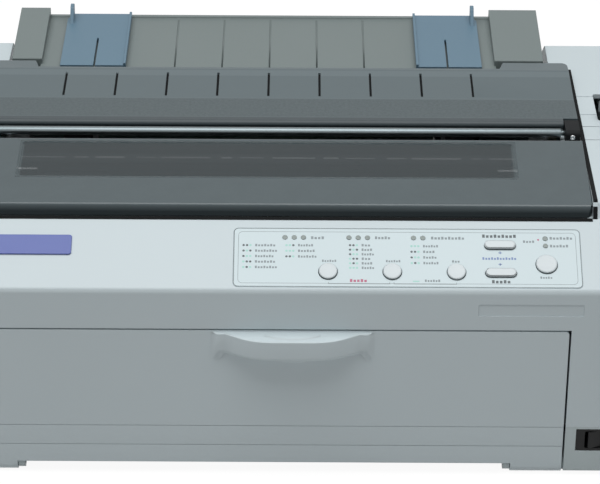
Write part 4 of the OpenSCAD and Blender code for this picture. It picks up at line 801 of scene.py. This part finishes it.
# ---- covers and tension unit -----------------------------------------------------------
# The covers are moulded smoked acrylic. The front one is glossy with a sunk clear
# window, the rear one is frosted. The aluminium roller between them sits in two brackets.


def smoked(name, tint, haze, rough, speck_mm, speck):
    """Smoked acrylic: dark, with a faint cloud of dust and a speckle where the mould is
    frosted. Gives back the parts that the zones of a cover are mixed from."""
    material, tree, shader, place = new_material(name)
    dust = add(
        tree,
        "ShaderNodeTexNoise",
        {"Scale": 1 / (14 * mm), "Detail": 6.0, "Roughness": 0.7},
        {"Vector": place},
    )
    colour = add(
        tree,
        "ShaderNodeMix",
        {"data_type": "RGBA", 6: linear(tint), 7: linear(haze)},
        {0: dust.outputs["Fac"]},
    )
    frost = add(
        tree,
        "ShaderNodeTexNoise",
        {"Scale": 1 / (speck_mm * mm), "Detail": 2.0, "Roughness": 0.8},
        {"Vector": place},
    )
    gloss = add(
        tree,
        "ShaderNodeMapRange",
        {"To Min": rough, "To Max": rough + 0.12},
        {"Value": dust.outputs["Fac"]},
    )
    soft_edge = add(tree, "ShaderNodeBevel", {"samples": 4, "Radius": 0.6 * mm})
    relief = add(
        tree,
        "ShaderNodeBump",
        {"Strength": speck, "Distance": 0.2 * mm},
        {"Height": frost.outputs["Fac"], "Normal": soft_edge.outputs[0]},
    )
    tree.links.new(colour.outputs[2], shader.inputs["Base Color"])
    tree.links.new(gloss.outputs[0], shader.inputs["Roughness"])
    tree.links.new(relief.outputs[0], shader.inputs["Normal"])
    shader.inputs["IOR"].default_value = 1.49
    where = add(tree, "ShaderNodeSeparateXYZ", {}, {0: place})
    return material, tree, shader, colour, where


def zone(tree, where, axis, start, end, soft_mm):
    """One from start to end along an axis of the frame and nought beyond, in mm."""
    up = add(
        tree,
        "ShaderNodeMapRange",
        {"From Min": (start - soft_mm) * mm, "From Max": start * mm},
        {"Value": where.outputs[axis]},
    )
    down = add(
        tree,
        "ShaderNodeMapRange",
        {"From Min": end * mm, "From Max": (end + soft_mm) * mm, "To Min": 1.0, "To Max": 0.0},
        {"Value": where.outputs[axis]},
    )
    return add(
        tree, "ShaderNodeMath", {"operation": "MULTIPLY"}, {0: up.outputs[0], 1: down.outputs[0]}
    )


def tinted(tree, under, amount, code):
    """Lays a flat colour over the colour below by an amount."""
    return add(
        tree,
        "ShaderNodeMix",
        {"data_type": "RGBA", 7: linear(code)},
        {0: amount.outputs[0], 6: under.outputs[2]},
    )


# Front cover: glossy smoke with dust, lighter where it is frosted, clear in the sunk window, and
# darkest down its front lip, where the shade of the black well and gap behind it is painted into the
# colour and the reflection is turned down.
front_smoke, tree, shader, colour, where = smoked(
    "smoked acrylic, gloss", "435054", "4C595D", 0.16, 3.0, 0.02
)
window_x0, window_x1 = -166, 127
window_y0, window_y1 = front_face + 73.5, front_face + 112.5
rim_x, rim_y = 2, 1.8
across = zone(tree, where, "X", window_x0, window_x1, 1.0)
along = zone(tree, where, "Y", window_y0, window_y1, 1.0)
window = add(
    tree, "ShaderNodeMath", {"operation": "MULTIPLY"}, {0: across.outputs[0], 1: along.outputs[0]}
)
colour = tinted(tree, colour, window, "263337")
inner = add(
    tree,
    "ShaderNodeMath",
    {"operation": "MULTIPLY"},
    {
        0: zone(tree, where, "X", window_x0 + rim_x, window_x1 - rim_x, 0.4).outputs[0],
        1: zone(tree, where, "Y", window_y0 + rim_y, window_y1 - rim_y, 0.4).outputs[0],
    },
)
rim = add(
    tree, "ShaderNodeMath", {"operation": "SUBTRACT"}, {0: window.outputs[0], 1: inner.outputs[0]}
)
colour = tinted(tree, colour, rim, "4A585C")
# Painted shade: the lip's colour is darkened towards black.
lip_shade = zone(tree, where, "Z", 140, 150.5, 4.0)
colour = tinted(tree, colour, lip_shade, "2A3235")
sheen = add(
    tree, "ShaderNodeMapRange", {"To Min": 0.5, "To Max": 0.08}, {"Value": lip_shade.outputs[0]}
)
tree.links.new(sheen.outputs[0], shader.inputs["Specular IOR Level"])
tree.links.new(colour.outputs[2], shader.inputs["Base Color"])
clearness = add(
    tree, "ShaderNodeMapRange", {"To Min": 0.98, "To Max": 0.76}, {"Value": window.outputs[0]}
)
tree.links.new(clearness.outputs[0], shader.inputs["Alpha"])

# Rear cover: frosted smoke. Its front half is spark-eroded and darker, its back half
# smooth and greyer.
rear_smoke, tree, shader, colour, where = smoked(
    "smoked acrylic, frosted", "4F5C60", "586569", 0.42, 1.4, 0.12
)
frosted = zone(tree, where, "Y", front_face + 146, front_face + 170, 1.0)
grit = add(
    tree,
    "ShaderNodeTexNoise",
    {"Scale": 1 / (1.8 * mm), "Detail": 3.0, "Roughness": 0.8},
    {"Vector": where.inputs[0].links[0].from_socket},
)
grit = add(
    tree,
    "ShaderNodeMapRange",
    {"From Min": 0.3, "From Max": 0.7, "To Min": 0.35, "To Max": 1.0},
    {"Value": grit.outputs["Fac"]},
)
grit = add(
    tree, "ShaderNodeMath", {"operation": "MULTIPLY"}, {0: grit.outputs[0], 1: frosted.outputs[0]}
)
colour = tinted(tree, colour, grit, "384447")
back_edge = zone(tree, where, "Y", front_face + 200.5, front_face + 207, 0.8)
colour = tinted(tree, colour, back_edge, "5D6A6E")
# The bead along the front edge is tinted darker: painted shade.
bead_shade = zone(tree, where, "Y", front_face + 135, front_face + 144.5, 1.0)
colour = tinted(tree, colour, bead_shade, "343E42")
tree.links.new(colour.outputs[2], shader.inputs["Base Color"])

dress("printer_cover", front_smoke)
dress("rear_cover", rear_smoke)
bracket_plastic = moulded("glass-filled nylon, dull black", "0C0E10", "121517", 0.6, grain_mm=1.0)
bracket_plastic.node_tree.nodes["Principled BSDF"].inputs["Specular IOR Level"].default_value = 0.15
dress("tension_brackets", bracket_plastic, soften_mm=0.4)

# The roller is a dull-nickelled tube, thinner than the plain roller of the CAD model, as
# the photograph shows it, on the same axis and journals.
dull_nickel = bare_metal("dull nickel-plated tube", "6E787B", "767F82", 0.34, (0.5, 6, 6), 1.2, 0.02)


def pick_end(piece, direction):
    """Selects, in edit mode, the faces of a piece that look along a direction."""
    bpy.ops.mesh.select_all(action="DESELECT")
    bpy.ops.object.mode_set(mode="OBJECT")
    for face in piece.data.polygons:
        face.select = face.normal.dot(direction) > 0.99
    bpy.ops.object.mode_set(mode="EDIT")


roller_x0, roller_x1 = -185.4, 156.9
roller_y, roller_z = 132.3, 158.5
roller_radius, journal_radius = 2.7, 1.6
left_journal, right_journal = 8.2, 10.1
bpy.ops.object.select_all(action="DESELECT")
bpy.ops.mesh.primitive_cylinder_add(
    vertices=48,
    radius=roller_radius * mm,
    depth=(roller_x1 - roller_x0) * mm,
    location=at((roller_x0 + roller_x1) / 2, roller_y, roller_z),
    rotation=(0, math.radians(90), 0),
)
tube = bpy.context.object
tube.name = "tension_roller_tube"
bpy.ops.object.transform_apply(location=True, rotation=True, scale=True)
bpy.ops.object.mode_set(mode="EDIT")
bpy.ops.mesh.select_mode(type="FACE")
for along, length in ((-1, left_journal), (1, right_journal)):
    pick_end(tube, Vector((along, 0, 0)))
    bpy.ops.mesh.inset(thickness=(roller_radius - journal_radius) * mm)
    bpy.ops.mesh.extrude_region_move(TRANSFORM_OT_translate={"value": (along * length * mm, 0, 0)})
bpy.ops.object.mode_set(mode="OBJECT")
soften = tube.modifiers.new("turned edges", "BEVEL")
soften.width = 0.25 * mm
soften.segments = 2
soften.limit_method = "ANGLE"
bpy.ops.object.modifier_apply(modifier=soften.name)
bpy.ops.object.shade_smooth_by_angle(angle=math.radians(35))
tube.data.materials.append(dull_nickel)
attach(tube, body_of["tension_roller"])
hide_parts("tension_roller")

# A bright steel screw with a hexagon socket holds each bracket from the front.
for side, x in (("left", -190.5), ("right", 163.5)):
    bpy.ops.object.select_all(action="DESELECT")
    bpy.ops.mesh.primitive_cylinder_add(
        vertices=24,
        radius=1.5 * mm,
        depth=1.2 * mm,
        location=at(x, 125.4, 159),
        rotation=(math.radians(90), 0, 0),
    )
    screw = bpy.context.object
    screw.name = f"bracket_screw_{side}"
    bpy.ops.object.transform_apply(location=True, rotation=True, scale=True)
    bpy.ops.object.mode_set(mode="EDIT")
    bpy.ops.mesh.select_mode(type="FACE")
    pick_end(screw, Vector((0, -1, 0)))
    bpy.ops.mesh.inset(thickness=0.8 * mm)
    bpy.ops.mesh.extrude_region_move(TRANSFORM_OT_translate={"value": (0, 0.6 * mm, 0)})
    bpy.ops.object.mode_set(mode="OBJECT")
    soften = screw.modifiers.new("domed edge", "BEVEL")
    soften.width = 0.3 * mm
    soften.segments = 3
    soften.limit_method = "ANGLE"
    bpy.ops.object.modifier_apply(modifier=soften.name)
    bpy.ops.object.shade_smooth_by_angle(angle=math.radians(35))
    screw.data.materials.append(ground_steel)
    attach(screw, "case")

# Dark lines of shade run round the covers' opening in the photograph, in the gaps there. Thin
# black strips are laid in them as painted shade: one along the top of the slope, which also covers that
# the front cover's lip is a little high, and one down each side and round its front corner.
shade_black = rubber("black sheet for painted shade", "0B0D0E", "15181A")
shade_black.node_tree.nodes["Principled BSDF"].inputs["Specular IOR Level"].default_value = 0.12


def shade_strip(name, size, middle, tilt, place):
    """A flat black strip with soft corners, for painted shade: its size and middle in mm, then how it
    lies.
    """
    bpy.ops.object.select_all(action="DESELECT")
    bpy.ops.mesh.primitive_cube_add(size=1, location=[m * mm for m in middle])
    strip = bpy.context.object
    strip.name = name
    strip.scale = [m * mm for m in size]
    bpy.ops.object.transform_apply(location=True, rotation=True, scale=True)
    soften = strip.modifiers.new("rounded edges", "BEVEL")
    soften.width = 0.1 * mm
    soften.segments = 2
    bpy.ops.object.modifier_apply(modifier=soften.name)
    strip.rotation_euler = (tilt, 0, 0)
    strip.location = place
    bpy.ops.object.transform_apply(location=True, rotation=True, scale=True)
    strip.data.materials.append(shade_black)
    return strip


strip_slope = math.radians(28)
slope_gap_shade = shade_strip(
    "gap_shade_front", (363.2, 2.1, 0.4), (-13.2, 49.05, 0.22), strip_slope, at(0, 0, 124)
)
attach(slope_gap_shade, "case")
for side, x in (("left", -196.4), ("right", 169.9)):
    side_gap_shade = shade_strip(f"gap_shade_{side}", (2.6, 175.4, 0.4), (x, 0, 0), 0, at(0, 137.3, 157.05))
    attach(side_gap_shade, "case")
    corner_gap_shade = shade_strip(
        f"gap_shade_corner_{side}", (2.6, 11.4, 0.4), (x, 0, 0.15), math.radians(62), at(0, 46.7, 152.3)
    )
    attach(corner_gap_shade, "case")

# The slits of the rear cover are dark at the bottom. A thin black strip lies in each as painted shade;
# one is cut and copied.
lean = math.atan2(2, 37)
for number in range(9):
    slit_shade = shade_strip(
        f"slit_shade_{number + 1}",
        (1.3, 29.4, 0.2),
        (-20 + (number - 4) * 31.6, 15, 0.15),
        lean,
        at(0, 174, 160.9),
    )
    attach(slit_shade, body_of["rear_cover"])

# ---- paper guide and edge guides -------------------------------------------------------
# A grey ribbed tray leads single forms in at the back, and two blue-grey guides slide on
# it to the paper's width.

guide_plastic = moulded("grained ABS, mid grey", "737E7E", "6E7978", 0.5)
dress("paper_guide", guide_plastic)
edge_plastic = moulded("ABS, blue grey", "5C7A8C", "587689", 0.45)
for name in ("edge_guide_left", "edge_guide_right"):
    dress(name, edge_plastic)

# ---- release lever ---------------------------------------------------------------------
# The lever that lets the paper go stands up through a slot in the right margin.

lever_plastic = moulded("ABS, dark grey, grained", "565D60", "5C6366", 0.45)
dress("release_lever", lever_plastic, soften_mm=0.4)
